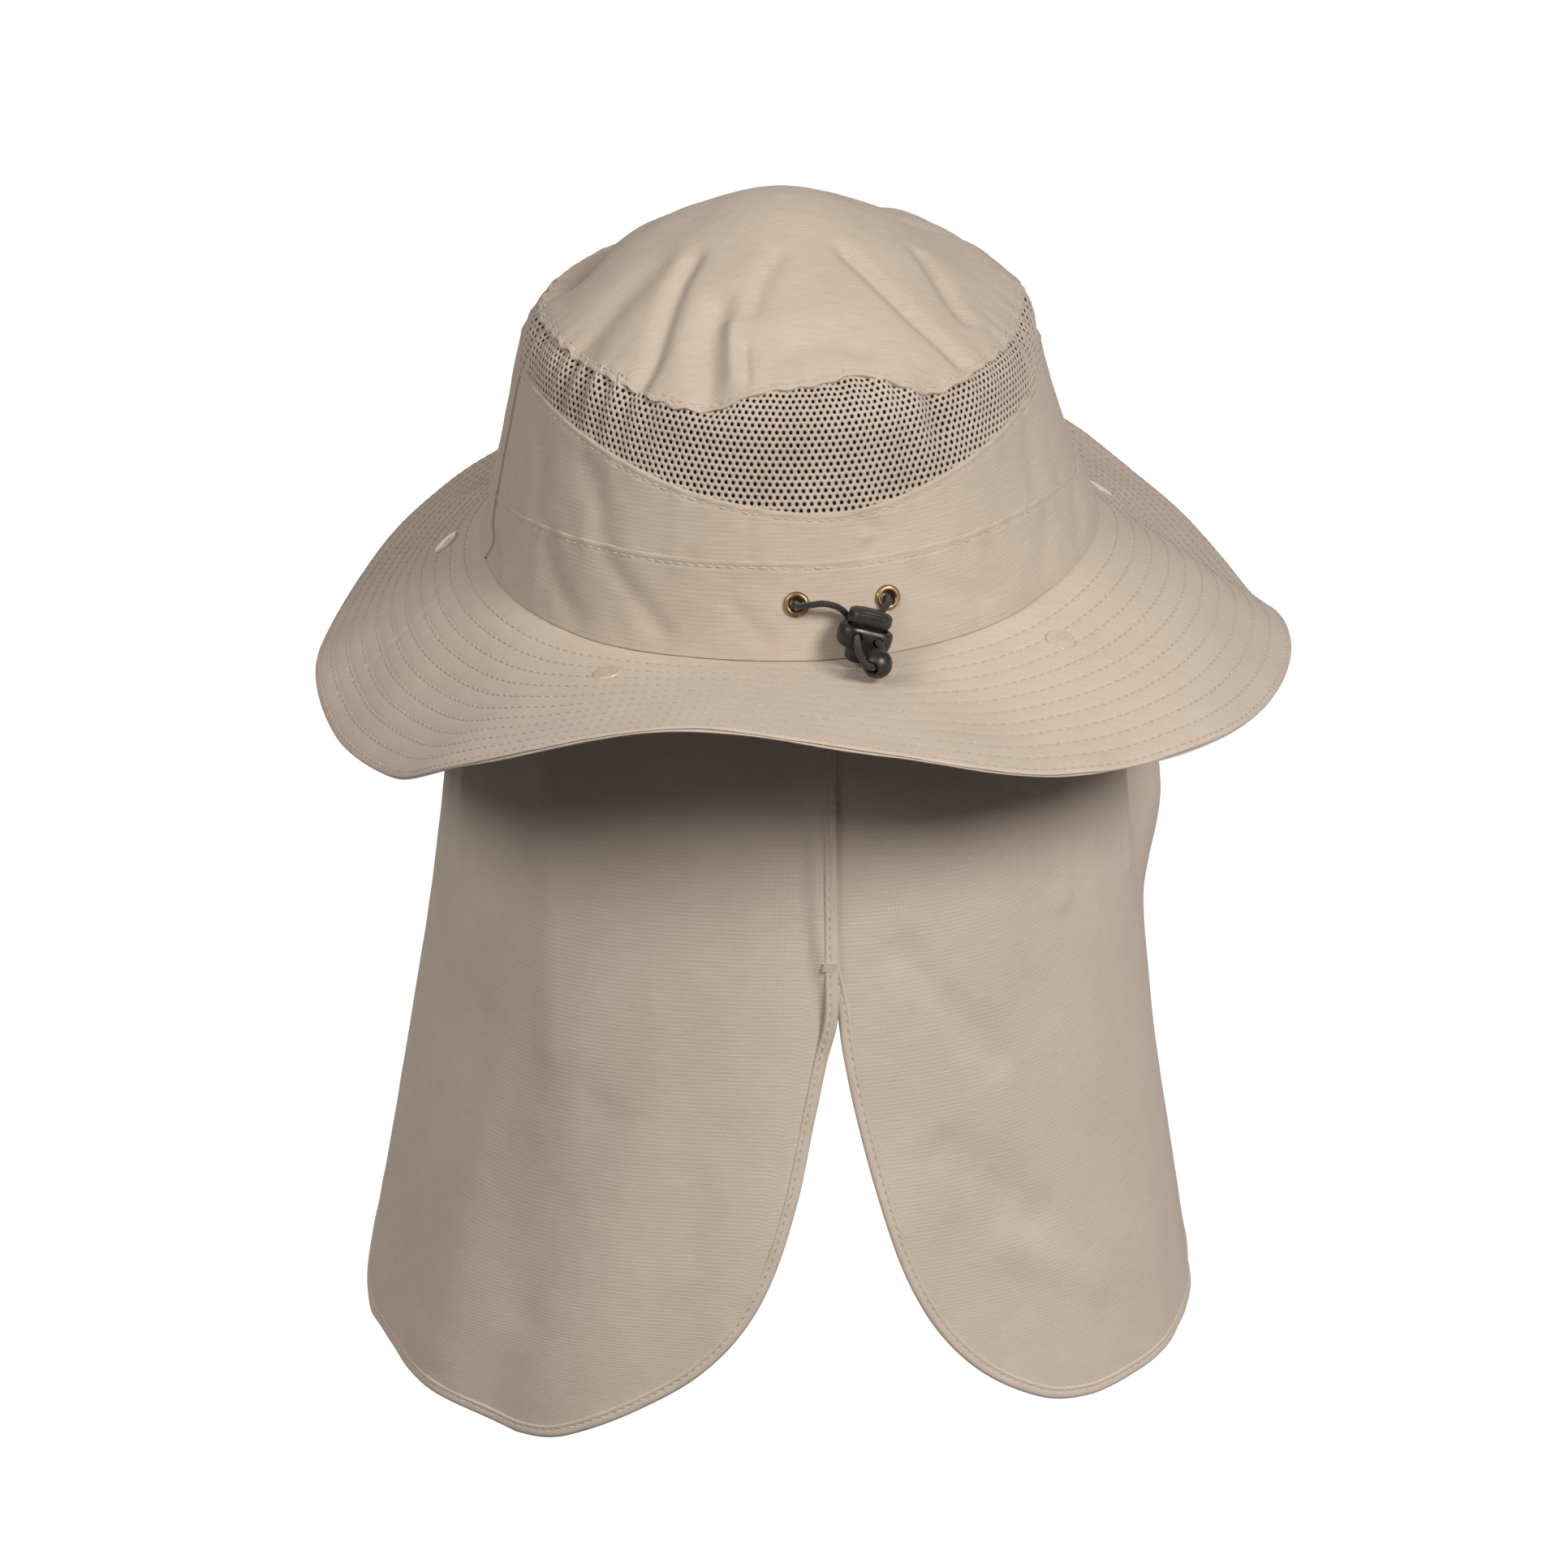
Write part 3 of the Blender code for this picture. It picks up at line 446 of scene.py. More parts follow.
ball_rings = []
bore_turn = math.asin((BALL_BORE_RADIUS + 0.35 * MM) / BALL_RADIUS)
for step in range(21):
    turn = bore_turn + (math.pi - 2 * bore_turn) * step / 20
    ball_rings.append((BALL_RADIUS * math.sin(turn), BALL_RADIUS * math.cos(turn)))
mouth = BALL_RADIUS * math.cos(bore_turn)
for radius, height in ((0.12, -1.0), (0.0, -0.93), (0.0, -0.5), (0.0, 0.5), (0.0, 0.93), (0.12, 1.0)):
    ball_rings.append((BALL_BORE_RADIUS + radius * MM, mouth * height))
ball_rings.append(ball_rings[0])
ball = raised("ball", [(radius, radius, height) for radius, height in ball_rings], 40, loop=True)
placed(ball, seat(BALL_PLACE, BALL_BORE), black_plastic)
for piece, node in ((lock_body, "cord_lock"), (lock_button, "cord_lock"), (ball, "cord_ball")):
    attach(piece, "root")
    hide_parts(node)

# Floor, sky and lamps. The floor is plain and white and lies far under the hat. A large soft lamp
# stands high on the right and a weaker one on the left, under a sky that is dark below.
FLOOR_HEIGHT = -1.1
FLOOR_HALF_WIDTH = 30
SKY_ABOVE = 0.26
SKY_BELOW = 0.01
LAMP_DISTANCE = 2.6
# Azimuth, rise in degrees, power and size of each lamp
LAMPS = (
    ("key", 32, 38, 57, 0.9),
    ("fill", -58, 38, 27, 1.2),
)

bpy.ops.mesh.primitive_plane_add(size=2 * FLOOR_HALF_WIDTH, location=(0, 0, FLOOR_HEIGHT))
floor = bpy.context.object
floor.name = "floor"
floor.visible_diffuse = False
floor_material, _, floor_shader = new_material("white_floor", 0.9, specular=0)
floor_shader.inputs["Base Color"].default_value = (0.2, 0.2, 0.2, 1)
floor_shader.inputs["Emission Color"].default_value = (1, 1, 1, 1)
floor_shader.inputs["Emission Strength"].default_value = 1.0
floor.data.materials.append(floor_material)

sky = bpy.data.worlds.new("sky")
sky.use_nodes = True
sky_tree = sky.node_tree
direction = add_node(sky_tree, "ShaderNodeTexCoord").outputs["Generated"]
height = add_node(sky_tree, "ShaderNodeSeparateXYZ", Vector=direction).outputs["Z"]
daylight = add_node(sky_tree, "ShaderNodeMapRange", {"interpolation_type": "SMOOTHSTEP"}, Value=height)
daylight_range = {"From Min": -0.25, "From Max": 0.7, "To Min": SKY_BELOW, "To Max": SKY_ABOVE}
for socket, value in daylight_range.items():
    daylight.inputs[socket].default_value = value
seen = add_node(sky_tree, "ShaderNodeLightPath").outputs["Is Camera Ray"]
strength = maths(sky_tree, "MAXIMUM", maths(sky_tree, "MULTIPLY", seen, 1.2), daylight.outputs[0])
sky_tree.links.new(strength, sky_tree.nodes["Background"].inputs["Strength"])
sky_tree.nodes["Background"].inputs["Color"].default_value = (1, 0.93, 0.85, 1)
bpy.context.scene.world = sky

for name, azimuth, rise, power, size in LAMPS:
    lamp_data = bpy.data.lights.new(name, "AREA")
    lamp_data.shape = "DISK"
    lamp_data.size = size
    lamp_data.energy = power
    lamp_data.color = (1.0, 0.985, 0.965)
    lamp = bpy.data.objects.new(name, lamp_data)
    turn, rise = math.radians(azimuth), math.radians(rise)
    level = math.cos(rise)
    lamp_from = Vector((math.sin(turn) * level, -math.cos(turn) * level, math.sin(rise)))
    lamp.location = CAMERA_TARGET + lamp_from * LAMP_DISTANCE
    lamp.rotation_euler = (-lamp_from).to_track_quat("-Z", "Y").to_euler()
    bpy.context.scene.collection.objects.link(lamp)
bpy.context.scene.view_settings.view_transform = "Standard"

# Lower band. Two layers of plain-woven nylon sewn round the head opening, joined at the sides, with
# a folded upper edge that laps the panel above it. The draw cord runs between the layers.
CROWN_HALF_DEPTH = 101 * MM
CROWN_HALF_WIDTH = 93.5 * MM
CROWN_HEIGHT = 108 * MM
CROWN_LEAN = 2.6 * MM
CROWN_WALL = 1.2 * MM
BAND_WALL = 2.6 * MM
JOIN_WAVE = 8 * MM
LEVEL_WAY = 0.06
SIDE_SEAM = 88
MESH_TIP = 126
SEAM_LAP = 1.2 * MM
EDGE_PROUD = 0.5 * MM
EDGE_STITCH = 2.1 * MM
PANEL_STEP = 0.6
EYELET_AZIMUTHS = (-7, 9)
EYELET_HEIGHT = 16 * MM
EYELET_BARREL_RADIUS = 2.45 * MM

# Way up the crown's side and over its top, its height and its reach from the axis
# (shares of the whole way, of CROWN_HEIGHT and of the head opening's reach)
CROWN_PROFILE = (
    (0.00, 0.000, 1.000),
    (0.10, 0.130, 0.959),
    (0.20, 0.260, 0.919),
    (0.30, 0.385, 0.880),
    (0.40, 0.510, 0.841),
    (0.50, 0.630, 0.794),
    (0.58, 0.710, 0.700),
    (0.66, 0.790, 0.566),
    (0.75, 0.870, 0.410),
    (0.84, 0.930, 0.266),
    (0.92, 0.978, 0.130),
    (1.00, 1.000, 0.000),
)

# Azimuth, height of the lower band's top, of the mesh's lower seam and of the top piece's seam
# (shares of CROWN_HEIGHT)
SEAM_LINES = (
    (-180, 0.23, 0.655, 0.655),
    (-150, 0.21, 0.655, 0.655),
    (-126, 0.19, 0.635, 0.655),
    (-100, 0.17, 0.540, 0.660),
    (-80, 0.18, 0.525, 0.670),
    (-62, 0.205, 0.505, 0.665),
    (-45, 0.225, 0.465, 0.655),
    (-27, 0.24, 0.415, 0.638),
    (-13, 0.25, 0.387, 0.684),
    (0, 0.25, 0.372, 0.700),
    (11, 0.255, 0.386, 0.710),
    (27, 0.26, 0.432, 0.650),
    (43, 0.265, 0.478, 0.660),
    (58, 0.25, 0.510, 0.665),
    (75, 0.22, 0.535, 0.672),
    (100, 0.20, 0.550, 0.665),
    (126, 0.21, 0.635, 0.655),
    (150, 0.22, 0.655, 0.655),
    (180, 0.23, 0.655, 0.655),
)

# Creases of the crown, each through three places given as azimuth and height, then its half width
# and its depth (heights, widths and depths are shares of CROWN_HEIGHT)
CROWN_CREASES = (
    (-72, 0.856, -68, 0.79, -65, 0.68, 0.060, 0.016),
    (-56, 0.888, -44, 0.76, -42, 0.67, 0.032, 0.024),
    (-30, 0.827, -29, 0.77, -24, 0.66, 0.048, 0.030),
    (-24, 0.800, -22, 0.76, -20, 0.71, 0.020, -0.012),
    (-18, 0.762, -17, 0.73, -16, 0.70, 0.011, 0.008),
    (-10, 0.919, -16, 0.88, -18, 0.83, 0.030, 0.010),
    (-6, 0.763, 5, 0.780, 14, 0.758, 0.050, 0.018),
    (30, 0.913, 34, 0.80, 38, 0.68, 0.026, 0.022),
    (69, 0.850, 58, 0.80, 52, 0.74, 0.028, 0.016),
    (27, 0.650, 27, 0.60, 27, 0.56, 0.050, 0.018),
    (-104, 0.060, -93, 0.05, -80, 0.04, 0.045, 0.016),
    (112, 0.900, 116, 0.81, 110, 0.68, 0.045, 0.018),
    (152, 0.880, 146, 0.80, 150, 0.67, 0.055, 0.020),
    (-108, 0.720, -130, 0.73, -156, 0.76, 0.090, 0.050),
    (90, 0.690, 114, 0.72, 140, 0.74, 0.120, -0.030),
    (-60, 0.170, -57, 0.11, -50, 0.05, 0.040, 0.009),
    (-44, 0.200, -38, 0.13, -31, 0.06, 0.038, 0.008),
    (-14, 0.210, -18, 0.15, -13, 0.06, 0.032, 0.006),
    (16, 0.190, 20, 0.13, 28, 0.08, 0.038, 0.008),
    (50, 0.210, 46, 0.13, 42, 0.06, 0.040, 0.007),
    (66, 0.180, 64, 0.12, 58, 0.05, 0.036, 0.007),
    (-52, 0.420, -47, 0.34, -46, 0.27, 0.045, 0.009),
    (-70, 0.440, -66, 0.34, -66, 0.25, 0.040, 0.008),
    (54, 0.440, 51, 0.37, 50, 0.30, 0.045, 0.009),
    (6, 0.350, 9, 0.32, 7, 0.28, 0.026, 0.007),
    (-152, 0.890, -146, 0.80, -156, 0.68, 0.055, 0.022),
    (180, 0.600, 176, 0.48, 184, 0.36, 0.070, 0.014),
    (132, 0.560, 128, 0.46, 134, 0.30, 0.060, 0.012),
    (-134, 0.580, -130, 0.44, -136, 0.30, 0.060, 0.014),
)

# Azimuth and the height of the join of crown and brim (share of JOIN_WAVE)
JOIN_LINE = (
    (-180, 0.0),
    (-120, -0.1),
    (-50, -0.4),
    (-20, -0.05),
    (5, 0.1),
    (30, 0.35),
    (55, 0.9),
    (78, 0.9),
    (105, 0.4),
    (140, 0.1),
    (180, 0.0),
)


def smooth_table(rows, column, wraps=False):
    """A function that reads a smooth curve through one column of a table, by its first column."""
    xs, ys = np.array([(row[0], row[column]) for row in rows], float).T
    if wraps:
        xs = np.r_[xs[-2] - 360, xs, xs[1] + 360]
        ys = np.r_[ys[-2], ys, ys[1]]
    around_x, around_y = np.r_[xs[0], xs, xs[-1]], np.r_[ys[0], ys, ys[-1]]
    slopes = (around_y[2:] - around_y[:-2]) / (around_x[2:] - around_x[:-2])

    def read(x):
        if wraps:
            x = (np.asarray(x, float) + 180) % 360 - 180
        x = np.clip(x, xs[0], xs[-1])
        i = np.clip(np.searchsorted(xs, x, "right") - 1, 0, len(xs) - 2)
        span = xs[i + 1] - xs[i]
        t = (x - xs[i]) / span
        start = ys[i] * (1 + 2 * t) * (1 - t) ** 2 + slopes[i] * span * t * (1 - t) ** 2
        return start + ys[i + 1] * t * t * (3 - 2 * t) - slopes[i + 1] * span * t * t * (1 - t)

    return read


def ease(x):
    """0 below 0, 1 above 1, and a smooth rise between."""
    x = np.clip(x, 0, 1)
    return x * x * (3 - 2 * x)


def outward(azimuth):
    turn = np.radians(azimuth)
    return np.stack([np.sin(turn), -np.cos(turn), 0 * turn], axis=-1)


def head_reach(azimuth):
    """How far the edge of the head opening is from the axis."""
    turn = np.radians(azimuth)
    return 1 / np.hypot(np.sin(turn) / CROWN_HALF_WIDTH, np.cos(turn) / CROWN_HALF_DEPTH)


crown_height_share = smooth_table(CROWN_PROFILE, 1)
crown_reach_share = smooth_table(CROWN_PROFILE, 2)
band_top = smooth_table(SEAM_LINES, 1, wraps=True)
mesh_sill = smooth_table(SEAM_LINES, 2, wraps=True)
top_seam = smooth_table(SEAM_LINES, 3, wraps=True)
join_share = smooth_table(JOIN_LINE, 1, wraps=True)
all_ways = np.linspace(0, 1, 2001)


def way_to_height(share):
    """The way up the crown at which its height is this share of CROWN_HEIGHT."""
    return np.interp(share, crown_height_share(all_ways), all_ways)


def crown_skin(azimuth, way):
    """A point on the crown's outer surface, before its creases."""
    azimuth, way = np.broadcast_arrays(np.asarray(azimuth, float), np.asarray(way, float))
    height = crown_height_share(way)
    place = outward(azimuth) * (head_reach(azimuth) * crown_reach_share(way))[..., None]
    place[..., 0] -= CROWN_LEAN * ease(height / 0.55)
    place[..., 2] = CROWN_HEIGHT * height + JOIN_WAVE * join_share(azimuth) * (1 - ease(height / 0.25))
    return place


def crown_normal(azimuth, way):
    """The crown's outward normal, which levels out at the head opening and turns up at the top."""
    azimuth, way = np.broadcast_arrays(np.asarray(azimuth, float), np.asarray(way, float))
    inside = np.minimum(way, 0.985)
    across = crown_skin(azimuth + 1, inside) - crown_skin(azimuth - 1, inside)
    up = crown_skin(azimuth, inside + 0.01) - crown_skin(azimuth, np.maximum(inside - 0.01, 0))
    normal = unit(np.cross(across, up))
    normal[..., 2] *= ease(way / LEVEL_WAY)
    top = ease((way - 0.93) / 0.06)[..., None]
    return unit(normal * (1 - top) + np.array((0, 0, 1.0)) * top)


def distance_to_line(place, start, end):
    line = end - start
    share = np.clip((place - start) @ line / (line @ line), 0, 1)
    return np.linalg.norm(place - start - share[..., None] * line, axis=-1)


def crease_lines():
    """Each crease as a line of points on the crown, with its half width and depth."""
    lines = []
    for a, a_height, b, b_height, c, c_height, width, depth in CROWN_CREASES:
        t = np.linspace(0, 1, 9)
        azimuth = a * (1 - t) ** 2 + (2 * b - (a + c) / 2) * 2 * t * (1 - t) + c * t * t
        middle = 2 * b_height - (a_height + c_height) / 2
        height = a_height * (1 - t) ** 2 + middle * 2 * t * (1 - t) + c_height * t * t
        points = crown_skin(azimuth, way_to_height(height))
        lines.append((points, width * CROWN_HEIGHT, depth * CROWN_HEIGHT))
    return lines


crown_crease_lines = crease_lines()


def crease_depth(place):
    """How far the cloth dips at these places of the crown."""
    depth = np.zeros(place.shape[:-1])
    for line, width, deepest in crown_crease_lines:
        near = np.full(place.shape[:-1], 1.0)
        for start, end in zip(line, line[1:]):
            near = np.minimum(near, distance_to_line(place, start, end))
        depth += deepest * np.exp(-((near / width) ** 2))
    return depth


def ripple(place, wavelength, seed, waves=9):
    """Soft unevenness of cloth, about -1 to 1, from waves that cross each other."""
    rng = np.random.default_rng(seed)
    total = np.zeros(place.shape[:-1])
    for _ in range(waves):
        direction = unit(rng.normal(size=3))
        turns = 2 * math.pi / wavelength * rng.uniform(0.6, 1.5)
        total += np.sin(place @ direction * turns + rng.uniform(0, 2 * math.pi))
    return total / math.sqrt(waves)


def puckers(azimuth, fewest, most, seed):
    """Uneven waves round the hat, as sewing draws them in, about -1 to 1."""
    rng = np.random.default_rng(seed)
    counts, starts = rng.integers(fewest, most, 7), rng.uniform(0, 2 * math.pi, 7)
    return sum(np.sin(np.radians(azimuth) * n + s) for n, s in zip(counts, starts)) / math.sqrt(7)


def crown_cloth(azimuth, way, lift=0.0):
    """Points of the crown's cloth with its creases and wrinkles, lifted this far outwards."""
    skin = crown_skin(azimuth, way)
    level = ease(np.asarray(way, float) / 0.05)
    wrinkle = 0.24 * MM * ripple(skin, 27 * MM, 3) + 0.05 * MM * ripple(skin, 9 * MM, 4)
    depth = crease_depth(skin) - wrinkle * level
    return skin + crown_normal(azimuth, way) * (np.asarray(lift) - depth)[..., None]


def folded_edge(distance, proud=EDGE_PROUD, stitch=EDGE_STITCH):
    """How far a folded edge stands out, this far in from it, with the dip of its stitching."""
    lift = proud * np.exp(-distance / (7 * MM))
    rounding = 1 - np.clip(distance / (0.5 * MM), 0, 1)
    drop = proud * (1 - np.sqrt(np.clip(1 - rounding**2, 0, 1)))
    dip = 0.24 * MM * np.exp(-(((distance - stitch) / (0.5 * MM)) ** 2))
    return lift - drop - dip


def tucked_edge(distance):
    """How far the cloth sinks where it runs in under the next piece."""
    return -0.4 * MM * (1 - ease(distance / (3 * MM)))


def column_rows(count, margin=3.6 * MM):
    """Rows of a panel, close together at its two edges: a share of its height and a distance."""
    near = np.array((0, 0.12, 0.35, 0.7, 1.2, 1.6, 2.1, 2.6, 3.1)) * MM
    shares = np.linspace(0, 1, count)
    inside = [(share, margin * (1 - 2 * share)) for share in shares]
    return np.array([(0, d) for d in near] + inside + [(1, -d) for d in near[::-1]])


def column_ways(azimuth, low, high, rows):
    """For each azimuth's rows, the way up the crown and the distance from the panel's lower edge."""
    fine = low[:, None] + (high - low)[:, None] * np.linspace(0, 1, 160)
    steps = np.linalg.norm(np.diff(crown_skin(azimuth[:, None], fine), axis=1), axis=2)
    run = np.c_[np.zeros(len(azimuth)), np.cumsum(steps, axis=1)]
    goal = np.clip(rows[:, 0] * run[:, -1:] + rows[:, 1], 0, run[:, -1:])
    ways = np.array([np.interp(g, r, f) for g, r, f in zip(goal, run, fine)])
    return ways, goal, run[:, -1:]


def cloth_wall(name, outer, inner, flat, material, closed=False, tip=None):
    """A wall of cloth between two grids of points, in columns. flat is each outer point's place on
    the flat cloth in millimetres, with one column more where the wall is closed."""
    columns, rows = outer.shape[:2]
    count = columns * rows
    points = np.vstack([outer.reshape(-1, 3), inner.reshape(-1, 3)])
    faces, flats = [], []

    def add(corners):
        faces.append([skin * count + (i % columns) * rows + k for skin, i, k in corners])
        flats.extend(flat[i, k] for _, i, k in corners)

    for i in range(columns if closed else columns - 1):
        for k in range(rows - 1):
            add(((0, i, k), (0, i + 1, k), (0, i + 1, k + 1), (0, i, k + 1)))
            add(((1, i, k), (1, i, k + 1), (1, i + 1, k + 1), (1, i + 1, k)))
        add(((0, i, 0), (1, i, 0), (1, i + 1, 0), (0, i + 1, 0)))
        if tip is None:
            add(((0, i, rows - 1), (0, i + 1, rows - 1), (1, i + 1, rows - 1), (1, i, rows - 1)))
    if tip is not None:
        points = np.vstack([points, tip])
        for skin in (0, 1):
            for i in range(columns):
                here, next_ = (skin * count + c % columns * rows + rows - 1 for c in (i, i + 1))
                faces.append([here, next_, 2 * count + skin])
                flats.extend((flat[i, -1], flat[i + 1, -1], tip[0][:2] / MM))
    if not closed:
        for i in (0, columns - 1):
            for k in range(rows - 1):
                add(((0, i, k), (0, i, k + 1), (1, i, k + 1), (1, i, k)))
    return link_mesh(name, points, faces, flats, material)


def woven_nylon(name, base, light, dark, rib=0.5, sheen=0.15, roughness=0.78, weave=0.62):
    """Plain-woven nylon: fine threads both ways, faint ribs across, and uneven dye and wear."""
    material, tree, shader = new_material(name, roughness, sheen=sheen, specular=0.3)
    shader.inputs["Sheen Roughness"].default_value = 0.45
    flat = add_node(tree, "ShaderNodeTexCoord").outputs["UV"]
    place = add_node(tree, "ShaderNodeTexCoord").outputs["Object"]
    drift = add_node(tree, "ShaderNodeTexNoise", Vector=flat, Scale=0.35, Detail=2.0).outputs[0]
    threads = []
    for direction in ("X", "Y"):
        settings = {"wave_type": "BANDS", "bands_direction": direction, "wave_profile": "SIN"}
        wave = add_node(tree, "ShaderNodeTexWave", settings, Vector=flat, Scale=0.5)
        wave.inputs["Distortion"].default_value = 0.6
        wave.inputs["Detail"].default_value = 1.0
        threads.append(wave.outputs["Fac"])
    crossing = maths(tree, "MAXIMUM", *threads)
    settings = {"wave_type": "BANDS", "bands_direction": "Y", "wave_profile": "SIN"}
    ribs = add_node(tree, "ShaderNodeTexWave", settings, Vector=flat, Scale=0.24, Distortion=1.2)
    slubs = add_node(tree, "ShaderNodeMapping", Vector=flat, Scale=(0.12, 2.2, 1.0)).outputs[0]
    slubs = add_node(tree, "ShaderNodeTexNoise", Vector=slubs, Scale=1.0, Detail=3.0).outputs[0]
    blotch = add_node(tree, "ShaderNodeTexNoise", Vector=place, Scale=22.0, Detail=4.0).outputs[0]
    fuzz = add_node(tree, "ShaderNodeTexNoise", Vector=place, Scale=1600.0, Detail=2.0).outputs[0]
    tone = weighted(tree, (blotch, 0.4), (slubs, 0.45), (crossing, 0.12), (drift, 0.1))
    colour = ramp(tree, tone, (0.3, dark), (0.52, base), (0.8, light))
    tree.links.new(colour, shader.inputs["Base Color"])
    dullness = ramp(tree, fuzz, (0.3, roughness - 0.08), (0.7, roughness + 0.1))
    tree.links.new(dullness, shader.inputs["Roughness"])
    height = weighted(tree, (crossing, weave), (ribs.outputs["Fac"], rib), (slubs, 0.5))
    fine = bumped(tree, None, height, 0.07 * MM, 0.8)
    bumped(tree, shader, blotch, 0.25 * MM, 0.25, under=fine)
    return material


def sewing_thread(name, base):
    """Spun polyester thread with its twist."""
    material, tree, shader = new_material(name, 0.6, sheen=0.2, specular=0.4)
    flat = add_node(tree, "ShaderNodeTexCoord").outputs["UV"]
    place = add_node(tree, "ShaderNodeTexCoord").outputs["Object"]
    leaning = add_node(tree, "ShaderNodeMapping", Vector=flat, Rotation=(0, 0, 0.6)).outputs[0]
    twist = add_node(tree, "ShaderNodeTexWave", Vector=leaning, Scale=0.8).outputs["Fac"]
    tint = add_node(tree, "ShaderNodeTexNoise", Vector=place, Scale=300.0).outputs[0]
    light = tuple(min(1, c * 1.12) for c in base[:3]) + (1,)
    dark = tuple(c * 0.84 for c in base[:3]) + (1,)
    tone = weighted(tree, (twist, 0.4), (tint, 0.6))
    tree.links.new(ramp(tree, tone, (0.25, dark), (0.75, light)), shader.inputs["Base Color"])
    bumped(tree, shader, twist, 0.06 * MM)
    return material


def sewn(name, rows, thread, pitch=3.2 * MM, length=2.4 * MM, width=0.55 * MM, height=0.24 * MM, seed=1):
    """Rows of stitches. Each row gives its line of points and the cloth's normals along it."""
    rng = np.random.default_rng(seed)
    turns = np.arange(6) * math.pi / 3
    ring = np.stack([0 * turns, np.cos(turns) / 2, np.sin(turns)], axis=1)
    template = np.vstack([[(-0.5, 0, -0.6)], ring - (0.34, 0, 0), ring + (0.34, 0, 0), [(0.5, 0, -0.6)]])
    each = [(0, 1 + (k + 1) % 6, 1 + k) for k in range(6)]
    each += [(1 + k, 1 + (k + 1) % 6, 7 + (k + 1) % 6, 7 + k) for k in range(6)]
    each += [(13, 7 + k, 7 + (k + 1) % 6) for k in range(6)]
    points, faces = [], []
    for line, normals in rows:
        run = np.r_[0, np.cumsum(np.linalg.norm(np.diff(line, axis=0), axis=1))]
        stops = np.arange(pitch / 2, run[-1] - pitch / 3, pitch)
        stops = stops + rng.uniform(-0.05, 0.05, len(stops)) * pitch

        def at(values, where):
            return np.stack([np.interp(where, run, values[:, k]) for k in range(3)], axis=1)

        ahead = unit(at(line, stops + 0.4 * length) - at(line, stops - 0.4 * length))
        up = unit(at(normals, stops))
        side = unit(np.cross(up, ahead))
        lean = rng.normal(0, 0.05, (len(stops), 1))
        ahead = unit(ahead + side * lean)
        side = unit(np.cross(up, ahead))
        x, y, z = (template * (length, width, height)).T
        shape = at(line, stops)[:, None] + ahead[:, None] * x[:, None] + side[:, None] * y[:, None]
        shape = shape + up[:, None] * z[:, None]
        for stitch in shape:
            base = len(points) * 14
            faces += [tuple(base + v for v in face) for face in each]
            points.append(stitch)
    flats = np.vstack([template[list(face)][:, :2] * (length, width) / MM for face in each])
    flats = np.tile(flats, (len(points), 1))
    piece = link_mesh(name, np.vstack(points), faces, flats, thread)
    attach(piece, "root")
    return piece


def seam_way(azimuth, line, offset):
    """The way up the crown this far above (or below) a seam line."""
    way = way_to_height(line(azimuth))
    step = crown_skin(azimuth, way + 0.01) - crown_skin(azimuth, way - 0.01)
    speed = np.linalg.norm(step, axis=-1) / 0.02
    return way + offset / speed


def side_edge(azimuth):
    """The distance to the nearer side seam along the crown."""
    away = np.abs((np.asarray(azimuth) + 180) % 360 - 180)
    return np.abs(away - SIDE_SEAM) * math.radians(1) * CROWN_HALF_WIDTH * 0.9


def side_range(front):
    """Azimuths from side seam to side seam, close together at both, over the front or the back."""
    lap = math.degrees(SEAM_LAP / 2 / CROWN_HALF_WIDTH)
    start, end = -SIDE_SEAM - lap, SIDE_SEAM + lap
    if front:
        start, end = SIDE_SEAM - lap, 360 - SIDE_SEAM + lap
    near = np.array((0, 0.08, 0.2, 0.4, 0.7, 1.0, 1.3, 1.7, 2.1))
    middle = np.arange(start + 2.6, end - 2.6 + PANEL_STEP / 2, PANEL_STEP)
    return np.r_[start + near, middle, end - near[::-1]]


def crown_panel(name, azimuth, low, high, count, wall, laps_side, material, seed):
    """A panel of the crown. Its top, and a side that laps, is a folded edge that stands out."""
    ways, above, total = column_ways(azimuth, low, high, column_rows(count))
    below = total - above
    lift = folded_edge(below) + tucked_edge(above) * (low[:, None] > 0.001)
    past = (side_edge(azimuth) + SEAM_LAP / 2)[:, None]
    lift = lift + (folded_edge(past) if laps_side else tucked_edge(side_edge(azimuth))[:, None])
    waves = puckers(azimuth, 34, 70, seed)[:, None]
    level = ease(ways / 0.05)
    lift = lift + 0.24 * MM * waves * level * (np.exp(-below / (5 * MM)) + np.exp(-above / (5 * MM)))
    outer = crown_cloth(azimuth[:, None], ways, lift)
    inner = crown_cloth(azimuth[:, None], ways, -wall)
    flat = np.stack([np.broadcast_to(np.radians(azimuth)[:, None] * 85, ways.shape), above / MM], axis=2)
    return cloth_wall(name, outer, inner, flat, material)


def edge_row(azimuth, way, inside, sink=0.0, lift=EDGE_PROUD):
    """A row of stitching along the crown, and the cloth's normals there."""
    proud = lift * math.exp(-inside / (7 * MM)) - 0.24 * MM + 0.1 * MM - sink
    return crown_cloth(azimuth, way, proud), crown_normal(azimuth, way)


def side_row(azimuth, low, high):
    """A row of stitching up a side seam."""
    ways = np.linspace(low, high, 60)
    places = crown_cloth(np.full(60, float(azimuth)), ways, 0.16 * MM)
    return places, crown_normal(np.full(60, float(azimuth)), ways)


